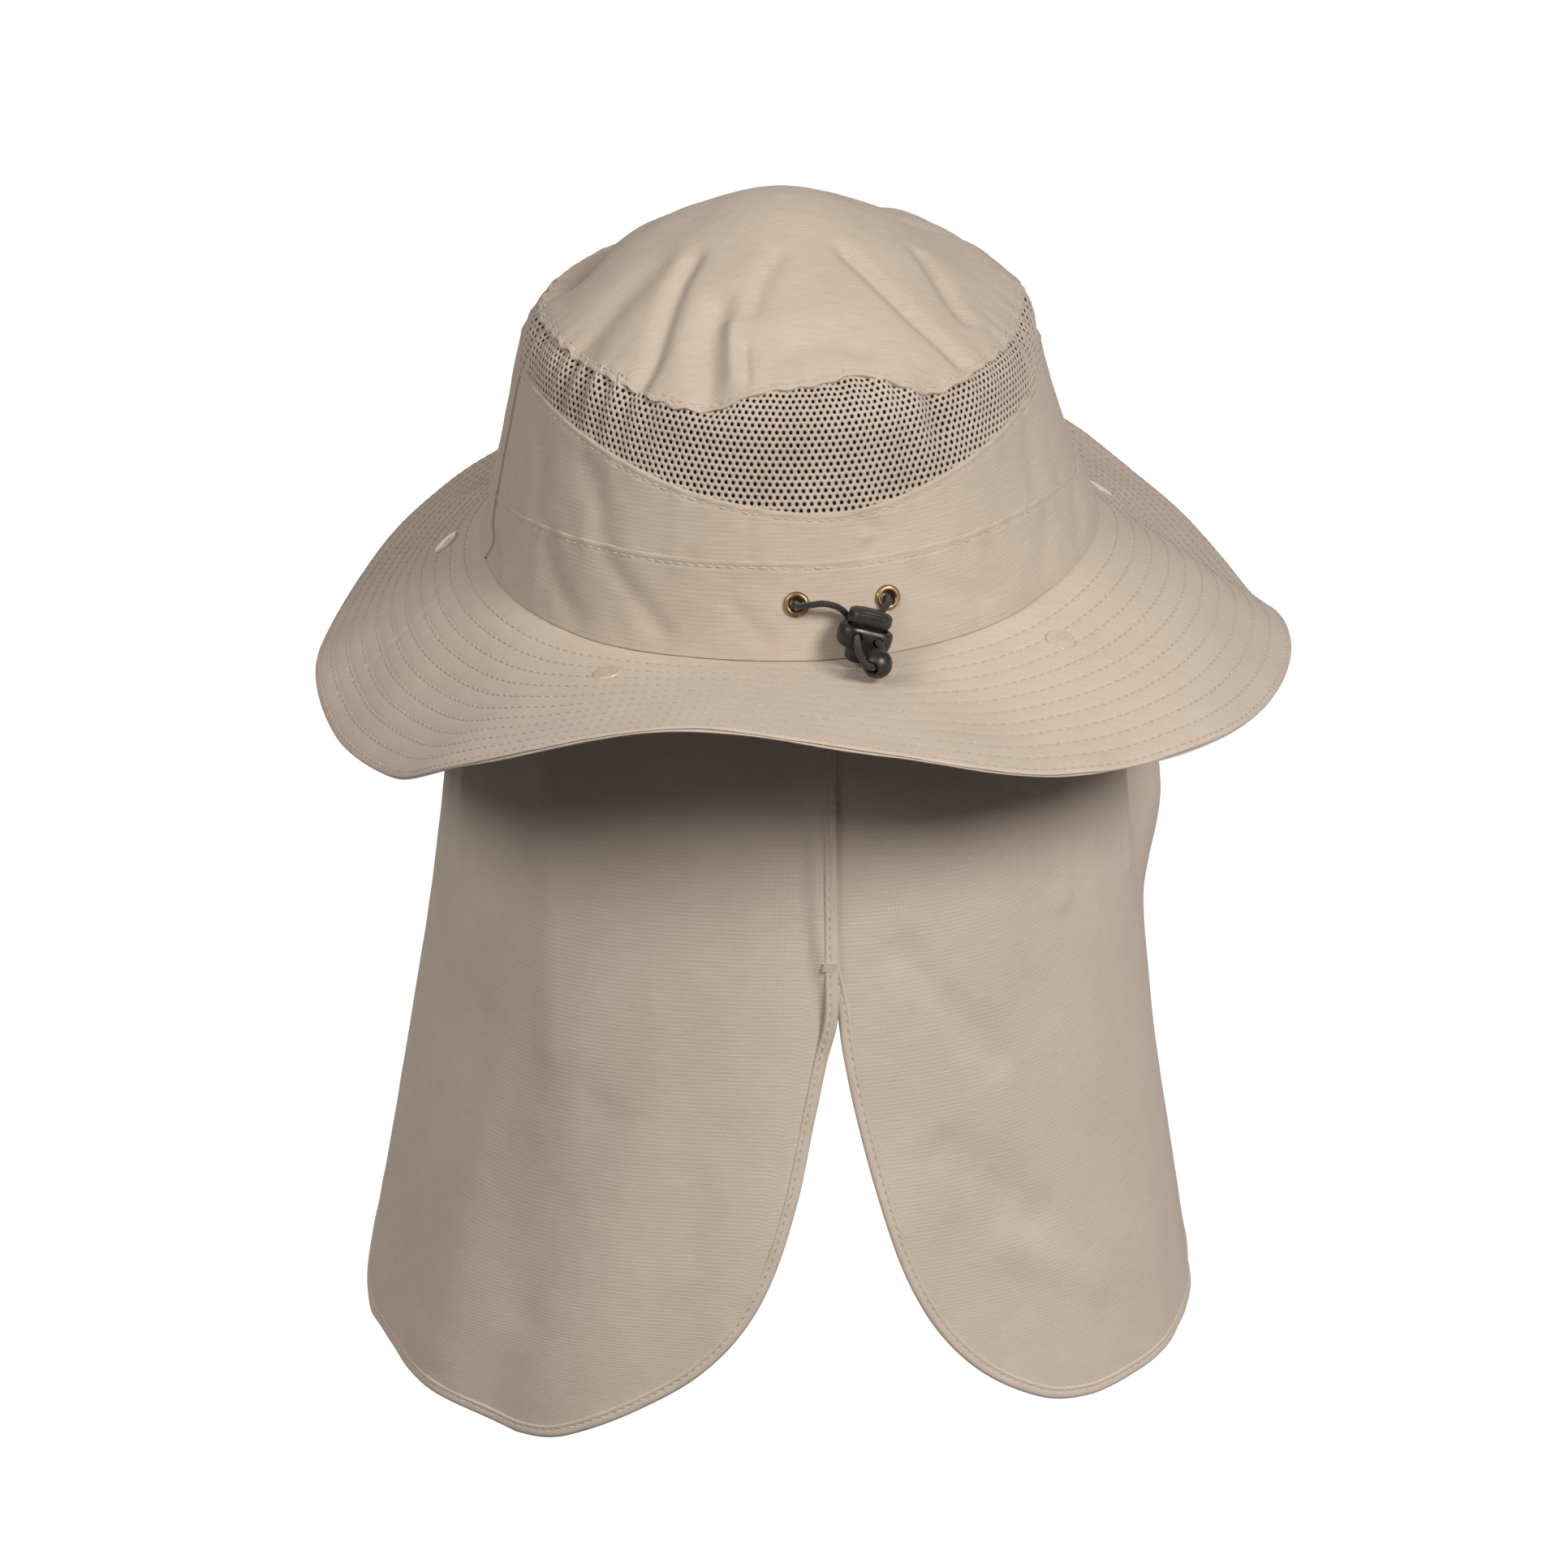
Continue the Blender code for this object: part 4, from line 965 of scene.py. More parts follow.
khaki = woven_nylon(
    "khaki_nylon",
    screen_colour(184, 168, 152),
    screen_colour(197, 182, 167),
    screen_colour(168, 152, 136),
)
thread = sewing_thread("khaki_thread", screen_colour(192, 176, 160))
round_back, round_front = side_range(False), side_range(True)
band_rows = []
for name, node, azimuth, front in (
    ("band_back", "lower_band_back", round_back, False),
    ("band_front", "lower_band_front", round_front, True),
):
    high = seam_way(azimuth, band_top, SEAM_LAP)
    piece = crown_panel(name, azimuth, 0 * azimuth, high, 22, BAND_WALL, front, khaki, 11 + front)
    if not front:
        pockets = []
        for eyelet_azimuth in EYELET_AZIMUTHS:
            way = float(way_to_height(EYELET_HEIGHT / CROWN_HEIGHT))
            bpy.ops.mesh.primitive_cylinder_add(vertices=32, radius=EYELET_BARREL_RADIUS, depth=4 * MM)
            pocket = bpy.context.object
            normal = crown_normal(eyelet_azimuth, way)
            pocket.data.transform(seat(crown_cloth(eyelet_azimuth, way), normal))
            pockets.append(pocket)
        bored(piece, pockets)
    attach(piece, "root")
    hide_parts(node)
    band_rows.append(edge_row(azimuth, seam_way(azimuth, band_top, SEAM_LAP - EDGE_STITCH), EDGE_STITCH))
for azimuth in (SIDE_SEAM + 1.35, -SIDE_SEAM - 1.35):
    band_rows.append(side_row(azimuth, 0.01, float(seam_way(azimuth, band_top, -2 * MM))))
band_stitches = sewn("band_stitches", band_rows, thread, seed=2)

# Crown panels. One panel of nylon at the back between the band and the mesh, and a taller one in
# front, lapped and stitched at the side seams. Their upper edges are folded and top-stitched.


def front_height(azimuth):
    """The front panel's upper edge: under the mesh up to its tips, and then under the top piece."""
    away = np.abs((np.asarray(azimuth) + 180) % 360 - 180)
    return np.where(away < MESH_TIP, mesh_sill(azimuth), top_seam(azimuth))


panel_rows = []
for name, node, azimuth, line, front in (
    ("panel_back", "crown_back_panel", round_back, mesh_sill, False),
    ("panel_front", "crown_front_panel", round_front, front_height, True),
):
    low = seam_way(azimuth, band_top, -1.5 * MM)
    high = seam_way(azimuth, line, SEAM_LAP)
    count = 34 if front else 20
    piece = crown_panel(name, azimuth, low, high, count, CROWN_WALL, front, khaki, 15 + front)
    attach(piece, "root")
    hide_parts(node)
    panel_rows.append(edge_row(azimuth, seam_way(azimuth, line, SEAM_LAP - EDGE_STITCH), EDGE_STITCH))
for azimuth in (SIDE_SEAM + 1.35, -SIDE_SEAM - 1.35):
    low = float(seam_way(azimuth, band_top, 1.5 * MM))
    panel_rows.append(side_row(azimuth, low, float(seam_way(azimuth, mesh_sill, -1.5 * MM))))
panel_stitches = sewn("panel_stitches", panel_rows, thread, seed=3)

# Mesh window. Open warp-knit mesh, let in between the back panel and the top piece and drawn up a
# little along its upper seam. The knit is real: staggered oval holes between rounded strands.
HOLE_PITCH = 1.43
HOLE_ROW = 1.9 * MM
HOLE_HALF_WIDTH = 0.50
HOLE_HALF_HEIGHT = 0.33
STRAND_ROUND = 0.16 * MM
MESH_WALL = 0.55 * MM
MESH_SINK = 0.5 * MM
MESH_MARGIN = 1.3 * MM


def knit_cell(column, row):
    """The twelve points round one hole's cell, in quarters of a pitch and sixths of a row."""
    u, v = 4 * column + 2 * (row % 2), 6 * row
    half_ring = ((2, 0), (2, 2), (1, 3), (0, 4), (-1, 3), (-2, 2))
    return (u, v), [(u + turn * du, v + turn * dv) for turn in (1, -1) for du, dv in half_ring]


def mesh_gathers(azimuth, way):
    """How far the mesh stands out where its upper seam gathers it."""
    below_seam = np.maximum(seam_way(azimuth, top_seam, 0.0) - way, 0)
    return puckers(azimuth, 38, 64, 21) * (0.15 + 0.6 * np.exp(-below_seam / 0.05)) * MM


def knit_mesh():
    """A sheet of knit cells between the mesh's seams."""
    base = float(way_to_height(0.34))
    fine = np.linspace(base, 0.75, 400)
    run = np.r_[0, np.cumsum(np.linalg.norm(np.diff(crown_skin(0, fine), axis=0), axis=1))]
    grid = np.arange(-MESH_TIP, MESH_TIP + 1, 1.0)
    low_run = np.interp(seam_way(grid, mesh_sill, -MESH_MARGIN), fine, run)
    high_run = np.interp(seam_way(grid, top_seam, MESH_MARGIN), fine, run)
    keys, spots, faces = {}, [], []

    def corner(u, v):
        if (u, v) not in keys:
            keys[(u, v)] = len(spots)
            spots.append((u * HOLE_PITCH / 4, v * HOLE_ROW / 6, 1.0))
        return keys[(u, v)]

    half = int(MESH_TIP / HOLE_PITCH)
    for row in range(int(run[-1] / HOLE_ROW)):
        for column in range(-half, half):
            (u, v), ring = knit_cell(column, row)
            azimuth, up = u * HOLE_PITCH / 4, v * HOLE_ROW / 6
            if not np.interp(azimuth, grid, low_run) <= up <= np.interp(azimuth, grid, high_run):
                continue
            around = [corner(*place) for place in ring]
            first = len(spots)
            for k in range(12):
                turn = 2 * math.pi * k / 12
                wide = HOLE_HALF_WIDTH * HOLE_PITCH / 2 * math.cos(turn)
                high = HOLE_HALF_HEIGHT * HOLE_ROW * math.sin(turn)
                spots.append((azimuth + wide, up + high, 0.0))
            for k in range(12):
                m = (k + 1) % 12
                faces.append((first + k, around[k], around[m], first + m))
    azimuth, up, strand = np.array(spots).T
    way = np.interp(up, run, fine)
    lift = mesh_gathers(azimuth, way) + STRAND_ROUND * strand - MESH_SINK
    places = crown_cloth(azimuth, way, lift)
    corner_flats = [(azimuth[v] * 1.4, up[v] / MM) for face in faces for v in face]
    return places, faces, corner_flats


def knit_yarn():
    """Textured polyester yarn with an uneven tint."""
    material, tree, shader = new_material("mesh_yarn", 0.8, sheen=0.25, specular=0.25)
    place = add_node(tree, "ShaderNodeTexCoord").outputs["Object"]
    flat = add_node(tree, "ShaderNodeTexCoord").outputs["UV"]
    tint = add_node(tree, "ShaderNodeTexNoise", Vector=place, Scale=45.0, Detail=4.0).outputs[0]
    fibre = add_node(tree, "ShaderNodeTexNoise", Vector=flat, Scale=6.0, Detail=4.0).outputs[0]
    tone = weighted(tree, (tint, 0.5), (fibre, 0.5))
    colour = ramp(tree, tone, (0.3, screen_colour(170, 154, 139)), (0.7, screen_colour(206, 191, 176)))
    tree.links.new(colour, shader.inputs["Base Color"])
    bumped(tree, shader, fibre, 0.12 * MM)
    return material


mesh_window = link_mesh("mesh_window", *knit_mesh(), knit_yarn(), smooth_angle=75)
wall = mesh_window.modifiers.new("wall", "SOLIDIFY")
wall.thickness = MESH_WALL
wall.offset = -1
bpy.context.view_layer.objects.active = mesh_window
bpy.ops.object.modifier_apply(modifier="wall")
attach(mesh_window, "root")
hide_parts("mesh_insert")

# Mesh shade sheet. The mesh's holes show dark wherever they are seen. This is painted shade: a thin dark
# sheet close behind the knit stands in for the shade inside the crown.
SHADE_SHEET_GAP = 0.15 * MM
SHADE_SHEET_WALL = 0.3 * MM
SHADE_SHEET_ROWS = 24

shade_sheet_azimuth = np.arange(-MESH_TIP + 1.5, MESH_TIP - 1.4, 1.5)[:, None]
shade_sheet_low = seam_way(shade_sheet_azimuth, mesh_sill, -MESH_MARGIN)
shade_sheet_high = seam_way(shade_sheet_azimuth, top_seam, MESH_MARGIN)
shade_sheet_ways = shade_sheet_low + (shade_sheet_high - shade_sheet_low) * np.linspace(0, 1, SHADE_SHEET_ROWS)
shade_sheet_faces = []
for depth in (SHADE_SHEET_GAP, SHADE_SHEET_GAP + SHADE_SHEET_WALL):
    lift = mesh_gathers(shade_sheet_azimuth, shade_sheet_ways) - MESH_SINK - MESH_WALL - depth
    shade_sheet_faces.append(crown_cloth(shade_sheet_azimuth, shade_sheet_ways, lift))
shade_sheet_flat = np.stack([shade_sheet_azimuth * 1.4 + 0 * shade_sheet_ways, shade_sheet_ways * 140], axis=2)
shade_sheet_material, shade_sheet_tree, shade_sheet_shader = new_material("painted_shade_sheet", 0.9, specular=0.1)
shade_sheet_place = add_node(shade_sheet_tree, "ShaderNodeTexCoord").outputs["UV"]
shade_sheet_noise = add_node(shade_sheet_tree, "ShaderNodeTexNoise", Vector=shade_sheet_place, Scale=4.0, Detail=3.0)
shade_sheet_noise = shade_sheet_noise.outputs[0]
# Painted shade: the sheet's dark colours stand in for the shade seen through the mesh's holes.
painted_shade_dark, painted_shade_light = screen_colour(40, 33, 27), screen_colour(62, 53, 44)
painted_shade_colour = ramp(shade_sheet_tree, shade_sheet_noise, (0.3, painted_shade_dark), (0.7, painted_shade_light))
shade_sheet_tree.links.new(painted_shade_colour, shade_sheet_shader.inputs["Base Color"])
bumped(shade_sheet_tree, shade_sheet_shader, shade_sheet_noise, 0.1 * MM)
mesh_shade_sheet = cloth_wall("mesh_shade_sheet", *shade_sheet_faces, shade_sheet_flat, shade_sheet_material)
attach(mesh_shade_sheet, "root")
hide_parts("mesh_insert")

# Top piece. An oval of the same nylon, eased on to the crown so that it puckers along its seam. Its
# narrow turned edge laps the mesh at the back and the front panel in front.
TOP_STEP = 0.75
TOP_EDGE_WAVE = 0.5 * MM
TOP_STITCH = 2.3 * MM

round_top = np.arange(-180, 180, TOP_STEP)
top_low = seam_way(round_top, top_seam, -SEAM_LAP + TOP_EDGE_WAVE * puckers(round_top, 40, 75, 31))
top_rows = column_rows(48)[:-9]
top_rows[-1] = (1, -1.0 * MM)
top_ways, top_above, _ = column_ways(round_top, top_low, 1 + 0 * top_low, top_rows)
top_waves = puckers(round_top, 40, 75, 32)[:, None] * np.exp(-top_above / (6 * MM))
top_lift = folded_edge(top_above, EDGE_PROUD, TOP_STITCH) + 0.3 * MM * top_waves
top_outer = crown_cloth(round_top[:, None], top_ways, top_lift)
top_inner = crown_cloth(round_top[:, None], top_ways, -CROWN_WALL)
top_tip = np.stack([crown_cloth(0, 1.0, lift) for lift in (0.0, -CROWN_WALL)])
top_flat = np.concatenate([top_outer, top_outer[:1]])[:, :, :2] / MM
top_piece = cloth_wall("top_piece", top_outer, top_inner, top_flat, khaki, closed=True, tip=top_tip)
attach(top_piece, "root")
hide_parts("crown_top")
closed_round = np.r_[round_top, 180]
stitch_low = np.r_[top_low, top_low[0]]
stitch_ways, _, _ = column_ways(closed_round, stitch_low, stitch_low + 0.1, np.array([(0, TOP_STITCH)]))
stitch_wave = 0.3 * MM * puckers(closed_round, 40, 75, 32) * math.exp(-TOP_STITCH / (6 * MM))
top_line = crown_cloth(closed_round, stitch_ways[:, 0], stitch_wave + 0.24 * MM)
top_line_normals = crown_normal(closed_round, stitch_ways[:, 0])
top_stitches = sewn("top_stitches", [(top_line, top_line_normals)], thread, seed=4)

# Brim. Two layers of nylon over a soft interlining, sewn together in eleven rings of stitching six
# millimetres apart, with a turned edge and a radial seam at each side.
BRIM_WIDTH = 70 * MM
BRIM_WALL = 2 * MM
BRIM_COLUMNS = 480
SEAM_GAP = 0.3 * MM
RING_COUNT = 11
RING_PITCH = 6.1 * MM
RING_EDGE = 2 * MM
RING_DIP = 0.17 * MM
BRIM_BACK_RELIEF = 0.6

# Azimuth, the brim's fall in degrees and its width there (share of BRIM_WIDTH)
BRIM_SLOPES = (
    (-180, 10, 1.00),
    (-150, 25, 1.00),
    (-120, 40, 1.00),
    (-100, 42, 0.99),
    (-80, 43.5, 0.99),
    (-61, 36, 0.96),
    (-42, 11.5, 1.01),
    (-20, -7, 0.99),
    (0, -2.5, 1.02),
    (20, 12, 0.98),
    (42, 19, 0.985),
    (62, 25, 0.96),
    (82, 29, 0.96),
    (99, 34.5, 0.99),
    (120, 27, 0.97),
    (150, 10, 0.99),
    (180, 10, 1.00),
)

# The turned edge of one layer: distance in from the brim's edge in millimetres, and how deep the
# layer's face has sunk there (share of half the brim's thickness)
BRIM_EDGE = (
    (1.5, 0.0),
    (1.1, 0.05),
    (0.7, 0.14),
    (0.35, 0.3),
    (0.12, 0.48),
    (0.0, 0.68),
    (0.05, 0.84),
    (0.3, 0.98),
)

brim_slope = smooth_table(BRIM_SLOPES, 1, wraps=True)
brim_width_share = smooth_table(BRIM_SLOPES, 2, wraps=True)


def brim_skin(azimuth, run):
    """A point on the brim's upper face, this far out from the join; below 0 it is under the band."""
    azimuth, run = np.broadcast_arrays(np.asarray(azimuth, float), np.asarray(run, float))
    slope = np.radians(brim_slope(azimuth))
    out = np.maximum(run, 0) * brim_width_share(azimuth)
    reach = head_reach(azimuth) + np.minimum(run, 0) + out * np.cos(slope)
    place = outward(azimuth) * reach[..., None]
    rise = JOIN_WAVE * join_share(azimuth) * (1 - out / BRIM_WIDTH)
    place[..., 2] = rise - SEAM_GAP - out * np.sin(slope)
    return place


def brim_normal(azimuth, run):
    nudge = 0.5 * MM
    azimuth, run = np.broadcast_arrays(np.asarray(azimuth, float), np.asarray(run, float))
    across = brim_skin(azimuth + 1, run) - brim_skin(azimuth - 1, run)
    out = brim_skin(azimuth, run + nudge) - brim_skin(azimuth, run - nudge)
    return unit(np.cross(out, across))


ring_runs = BRIM_WIDTH - RING_EDGE - RING_PITCH * np.arange(RING_COUNT)


def brim_relief(azimuth, run, seed):
    """How far the brim's cloth stands out, puffed between its rings of stitching."""
    skin = brim_skin(azimuth, run)
    away = np.abs(np.asarray(run)[..., None] - ring_runs).min(axis=-1)
    puff = -RING_DIP * np.exp(-((away / (0.9 * MM)) ** 2))
    small = 0.05 * MM * ripple(skin, 10 * MM, seed) * (1 - np.exp(-((away / (1.6 * MM)) ** 2)))
    long_ = 0.25 * MM * ripple(skin, 44 * MM, 41)
    seam = np.zeros(skin.shape[:-1])
    for side in (-1, 1):
        reach = np.linalg.norm(skin[..., :2], axis=-1)
        off = np.radians(np.asarray(azimuth) - side * SIDE_SEAM) * reach
        off = (off + math.pi * reach) % (2 * math.pi * reach) - math.pi * reach
        seam += -0.35 * MM * np.exp(-((off / (0.6 * MM)) ** 2))
        seam += 0.12 * MM * np.exp(-(((np.abs(off) - 2.6 * MM) / (1.8 * MM)) ** 2))
    inside = ease(np.asarray(run) / (4 * MM))
    return (puff + small) + (long_ + seam) * inside


def brim_face(azimuth, run, depth, seed, side):
    """Points on the brim's upper (1) or lower (-1) face."""
    relief = brim_relief(azimuth, run, seed) * (1 if side > 0 else -BRIM_BACK_RELIEF)
    middle = brim_skin(azimuth, run) - brim_normal(azimuth, run) * (BRIM_WALL / 2)
    half = BRIM_WALL / 2 * (1 - depth)
    return middle + brim_normal(azimuth, run) * (side * half + relief)[..., None]


def brim_runs():
    """Distances out from the join for the brim's rows, closest at its rings of stitching."""
    near = np.array((-1.9, -1.2, -0.6, 0, 0.6, 1.2, 1.9)) * MM
    runs = [-BAND_WALL, -BAND_WALL / 2, 0, 1.2 * MM, 2.4 * MM, 3.6 * MM]
    for ring in ring_runs[::-1]:
        runs += list(ring + near)
    edge = BRIM_WIDTH - BRIM_EDGE[0][0] * MM
    runs = sorted(run for run in runs if run < edge - 0.1 * MM)
    return np.array(runs)


# Painted light: the brim is the crown's khaki nylon, given here as a lighter copy that brightens it.
brim_nylon_painted_light = woven_nylon(
    "brim_nylon_painted_light",
    screen_colour(191, 175, 159),
    screen_colour(204, 189, 174),
    screen_colour(176, 160, 144),
    rib=0.15,
    sheen=0.2,
    roughness=0.68,
)
round_brim = (np.arange(BRIM_COLUMNS) * 360 / BRIM_COLUMNS - 180)[:, None]
inner_runs = brim_runs()
edge_in, edge_sink = np.array(BRIM_EDGE).T
all_runs = np.r_[inner_runs, BRIM_WIDTH - edge_in * MM]
all_sinks = np.r_[0 * inner_runs, edge_sink]
brim_upper = brim_face(round_brim, all_runs[None, :], all_sinks, 42, 1)
brim_lower = brim_face(round_brim, all_runs[None, :], all_sinks, 43, -1)
brim_flat = np.concatenate([brim_upper, brim_upper[:1]])[:, :, :2] / MM
brim_piece = cloth_wall("brim_cloth", brim_upper, brim_lower, brim_flat, brim_nylon_painted_light, closed=True)
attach(brim_piece, "root")
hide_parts("brim")

brim_thread = sewing_thread("brim_thread", screen_colour(184, 168, 151))
round_ring = np.linspace(-180, 180, 721)
for name, seed, side in (("brim_stitches", 42, 1), ("brim_stitches_below", 43, -1)):
    ring_lines = []
    for ring in ring_runs:
        runs = np.full(len(round_ring), ring)
        line = brim_face(round_ring, runs, np.full(len(round_ring), -0.1), seed, side)
        ring_lines.append((line, side * brim_normal(round_ring, runs)))
    rings = sewn(name, ring_lines, brim_thread, pitch=3.4 * MM, length=2.5 * MM, width=0.5 * MM, seed=5)

# Neck cape. Two panels of light nylon with a narrow turned hem all round. Their top flange is held
# flat under the brim by four snaps, and the left panel laps the right one down to the slit.
SNAP_REACH = 16 * MM
CAPE_CLOTH = 0.7 * MM
CAPE_WALL = 1 * MM
CAPE_SEAT_GAP = 0.6 * MM
CAPE_DROP = 257 * MM
CAPE_FLANGE = 18 * MM
CAPE_LAP = 6.5 * MM
CAPE_SIDE_FLARE = 30 * MM
CAPE_BACK_FLARE = 22 * MM
CAPE_FLARE_CURVE = 1.5
CAPE_COLUMNS = 130
CAPE_ROWS = 140
CAPE_CORNER_TURN = 20
RIGHT_CAPE_DROP_SHARE = 0.972
HEM_STITCH = 2.3 * MM

# The flange and its bend: distance out from the join and how far it has sunk, in millimetres
CAPE_BEND = (
    (25, 0),
    (22, 0),
    (19, 0),
    (16, 0),
    (13, 0),
    (10.5, 0),
    (9.0, 0.1),
    (8.0, 0.4),
    (7.3, 1.0),
)

# Way down the cape, how far the left and the right panel's centre edges lie to their own side of
# the middle (shares of CAPE_DROP), the azimuth of the front edges, and how far the right panel's
# front corner stands out (share of CAPE_DROP)
CAPE_EDGES = (
    (0.00, 0.0115, -0.035, 116, 0.000),
    (0.10, 0.0115, -0.035, 115, 0.025),
    (0.25, 0.0115, -0.034, 113, 0.065),
    (0.34, 0.0115, -0.028, 112, 0.090),
    (0.42, 0.0125, -0.0115, 110.5, 0.096),
    (0.47, 0.024, -0.006, 110, 0.086),
    (0.55, 0.041, 0.008, 108, 0.045),
    (0.65, 0.062, 0.031, 106, 0.024),
    (0.75, 0.094, 0.060, 105, 0.006),
    (0.82, 0.133, 0.090, 104.5, 0.000),
    (0.88, 0.190, 0.130, 104, 0.000),
    (0.93, 0.264, 0.180, 102.5, 0.000),
    (0.97, 0.335, 0.240, 99, 0.000),
    (0.99, 0.380, 0.285, 94, 0.000),
    (1.00, 0.430, 0.335, 89, 0.000),
)

# Azimuth of a fold down the cape, its half width in degrees, how far down it starts, its depth at
# the hem (share of CAPE_DROP)
CAPE_FOLDS = (
    (-96, 42, -0.40, 0.025),
    (-80, 8, 0.00, -0.007),
    (-66, 7, 0.05, 0.006),
    (-52, 9, 0.30, -0.008),
    (-24, 14, 0.15, -0.008),
    (26, 14, 0.20, -0.008),
    (52, 11, 0.10, 0.008),
    (80, 9, 0.05, -0.010),
)

# Small wrinkles of the cape: azimuth and way down of the two ends, half width and depth
# (shares of CAPE_DROP)
CAPE_WRINKLES = (
    (42, 0.15, 40, 0.36, 0.012, 0.0030),
    (67, 0.14, 66, 0.40, 0.014, 0.0036),
    (9, 0.36, 24, 0.52, 0.024, -0.0036),
    (16, 0.62, 30, 0.74, 0.028, -0.0040),
    (24, 0.76, 40, 0.86, 0.026, 0.0032),
    (-38, 0.56, -50, 0.84, 0.036, -0.0034),
    (-52, 0.10, -48, 0.50, 0.022, 0.0034),
    (-80, 0.15, -76, 0.62, 0.024, 0.0046),
    (-64, 0.50, -70, 0.90, 0.030, -0.0040),
)

# The hem's section: distance in from the edge and height over the cloth's outer face, in millimetres
HEM_SECTION = (
    (3.7, -0.05),
    (3.55, 0.22),
    (3.0, 0.36),
    (2.6, 0.30),
    (2.3, 0.12),
    (2.0, 0.30),
    (1.4, 0.42),
    (0.6, 0.38),
    (0.1, 0.18),
    (-0.18, -0.15),
    (-0.18, -0.55),
    (0.1, -0.88),
    (0.6, -1.08),
    (1.4, -1.12),
    (2.0, -1.0),
    (2.3, -0.82),
    (2.6, -1.0),
    (3.0, -1.06),
    (3.55, -0.92),
    (3.7, -0.65),
)

left_edge_share = smooth_table(CAPE_EDGES, 1)
right_edge_share = smooth_table(CAPE_EDGES, 2)
front_edge_azimuth = smooth_table(CAPE_EDGES, 3)
corner_flare_share = smooth_table(CAPE_EDGES, 4)
hanging_run = SNAP_REACH - CAPE_FLANGE / 2


def cape_flare(azimuth, down):
    """How far the cape stands out from where it starts, at this azimuth and way down."""
    turn = np.radians(azimuth)
    wide = CAPE_SIDE_FLARE * np.sin(turn) ** 2 + CAPE_BACK_FLARE * np.cos(turn) ** 2
    flare = wide * down**CAPE_FLARE_CURVE
    for middle, half_width, start, depth in CAPE_FOLDS:
        shape = np.exp(-(((azimuth - middle) / half_width) ** 2))
        flare = flare + CAPE_DROP * depth * shape * ease((down - start) / (1 - start))
    near_corner = ease((azimuth - front_edge_azimuth(down)) / CAPE_CORNER_TURN + 1)
    return flare + CAPE_DROP * corner_flare_share(down) * near_corner


def cape_skin(side, azimuth, down):
    """A point on the cape where it hangs."""
    seat_depth = BRIM_WALL + CAPE_SEAT_GAP
    top = brim_skin(azimuth, hanging_run) - brim_normal(azimuth, hanging_run) * seat_depth
    place = top * (1, 1, 0) + outward(azimuth) * cape_flare(azimuth, down)[..., None]
    hem = -CAPE_DROP * (1 if side < 0 else RIGHT_CAPE_DROP_SHARE)
    place[..., 2] = top[..., 2] + (hem - top[..., 2]) * down
    return place


def centre_azimuth(side, down):
    """The azimuth of a panel's centre edge, this far down."""
    share = (left_edge_share if side < 0 else right_edge_share)(down)
    reach = head_reach(0) + hanging_run + CAPE_BACK_FLARE * down
    return side * np.degrees(CAPE_DROP * share / reach)


def lap_lift(side, azimuth, down):
    """How far the left panel is lifted off the right one, which runs on under its centre edge."""
    if side > 0:
        return 0 * azimuth
    reach = head_reach(0) + hanging_run
    past = azimuth - centre_azimuth(1, down)
    return (CAPE_WALL + 2 * SEAM_GAP) * ease(past * math.radians(1) * reach / (0.7 * CAPE_LAP) + 1)


def wrinkle_depth(place, side):
    """How far the small wrinkles dip, or stand out, at these places of the cape."""
    depth = np.zeros(place.shape[:-1])
    for start, start_down, end, end_down, width, deepest in CAPE_WRINKLES:
        ends = cape_skin(side, np.array([start, end], float), np.array([start_down, end_down]))
        near = distance_to_line(place, ends[0], ends[1])
        depth += deepest * CAPE_DROP * np.exp(-((near / (width * CAPE_DROP)) ** 2))
    return depth


def cape_grid(side):
    """The panel's middle surface: its flange under the brim, its bend and its hanging rows."""
    t = np.linspace(0, 1, CAPE_COLUMNS)
    share = t + 0.035 * np.sin(2 * math.pi * t) * -1
    rows = []
    centre, front = centre_azimuth(side, 0.0), side * front_edge_azimuth(0.0)
    azimuth = centre + (front - centre) * share
    lifts = lap_lift(side, azimuth, 0.0)
    for run, sink in CAPE_BEND:
        depth = BRIM_WALL + CAPE_SEAT_GAP + lifts + sink * MM
        rows.append(brim_skin(azimuth, run * MM) - brim_normal(azimuth, run * MM) * depth[:, None])
    for down in np.r_[0.008, np.linspace(0.014, 1, CAPE_ROWS)]:
        centre, front = centre_azimuth(side, down), side * front_edge_azimuth(down)
        azimuth = centre + (front - centre) * share
        skin = cape_skin(side, azimuth, np.full(len(azimuth), down))
        rows.append(skin + outward(azimuth) * lap_lift(side, azimuth, down)[:, None])
    return np.stack(rows, axis=1)


def hanging_normals(grid, side):
    """The outward normals of the cape's smooth form at places where it hangs."""
    azimuth = np.degrees(np.arctan2(grid[..., 0], -grid[..., 1]))
    ends = [cape_skin(side, azimuth, np.full(azimuth.shape, down))[..., 2] for down in (0.0, 1.0)]
    down = np.clip((grid[..., 2] - ends[0]) / (ends[1] - ends[0]), 0.02, 0.98)
    across = cape_skin(side, azimuth + 1, down) - cape_skin(side, azimuth - 1, down)
    fall = cape_skin(side, azimuth, down + 0.01) - cape_skin(side, azimuth, down - 0.01)
    return unit(np.cross(fall, across))


def grid_normals(grid, side):
    """The outward normals of a panel: its flange's from its grid, the rest from the cape's form."""
    across, down = np.gradient(grid, axis=0), np.gradient(grid, axis=1)
    flange = -side * unit(np.cross(across, down))
    hangs = ease((np.arange(grid.shape[1]) - 9) / 6)[None, :, None]
    return unit(flange * (1 - hangs) + hanging_normals(grid, side) * hangs)


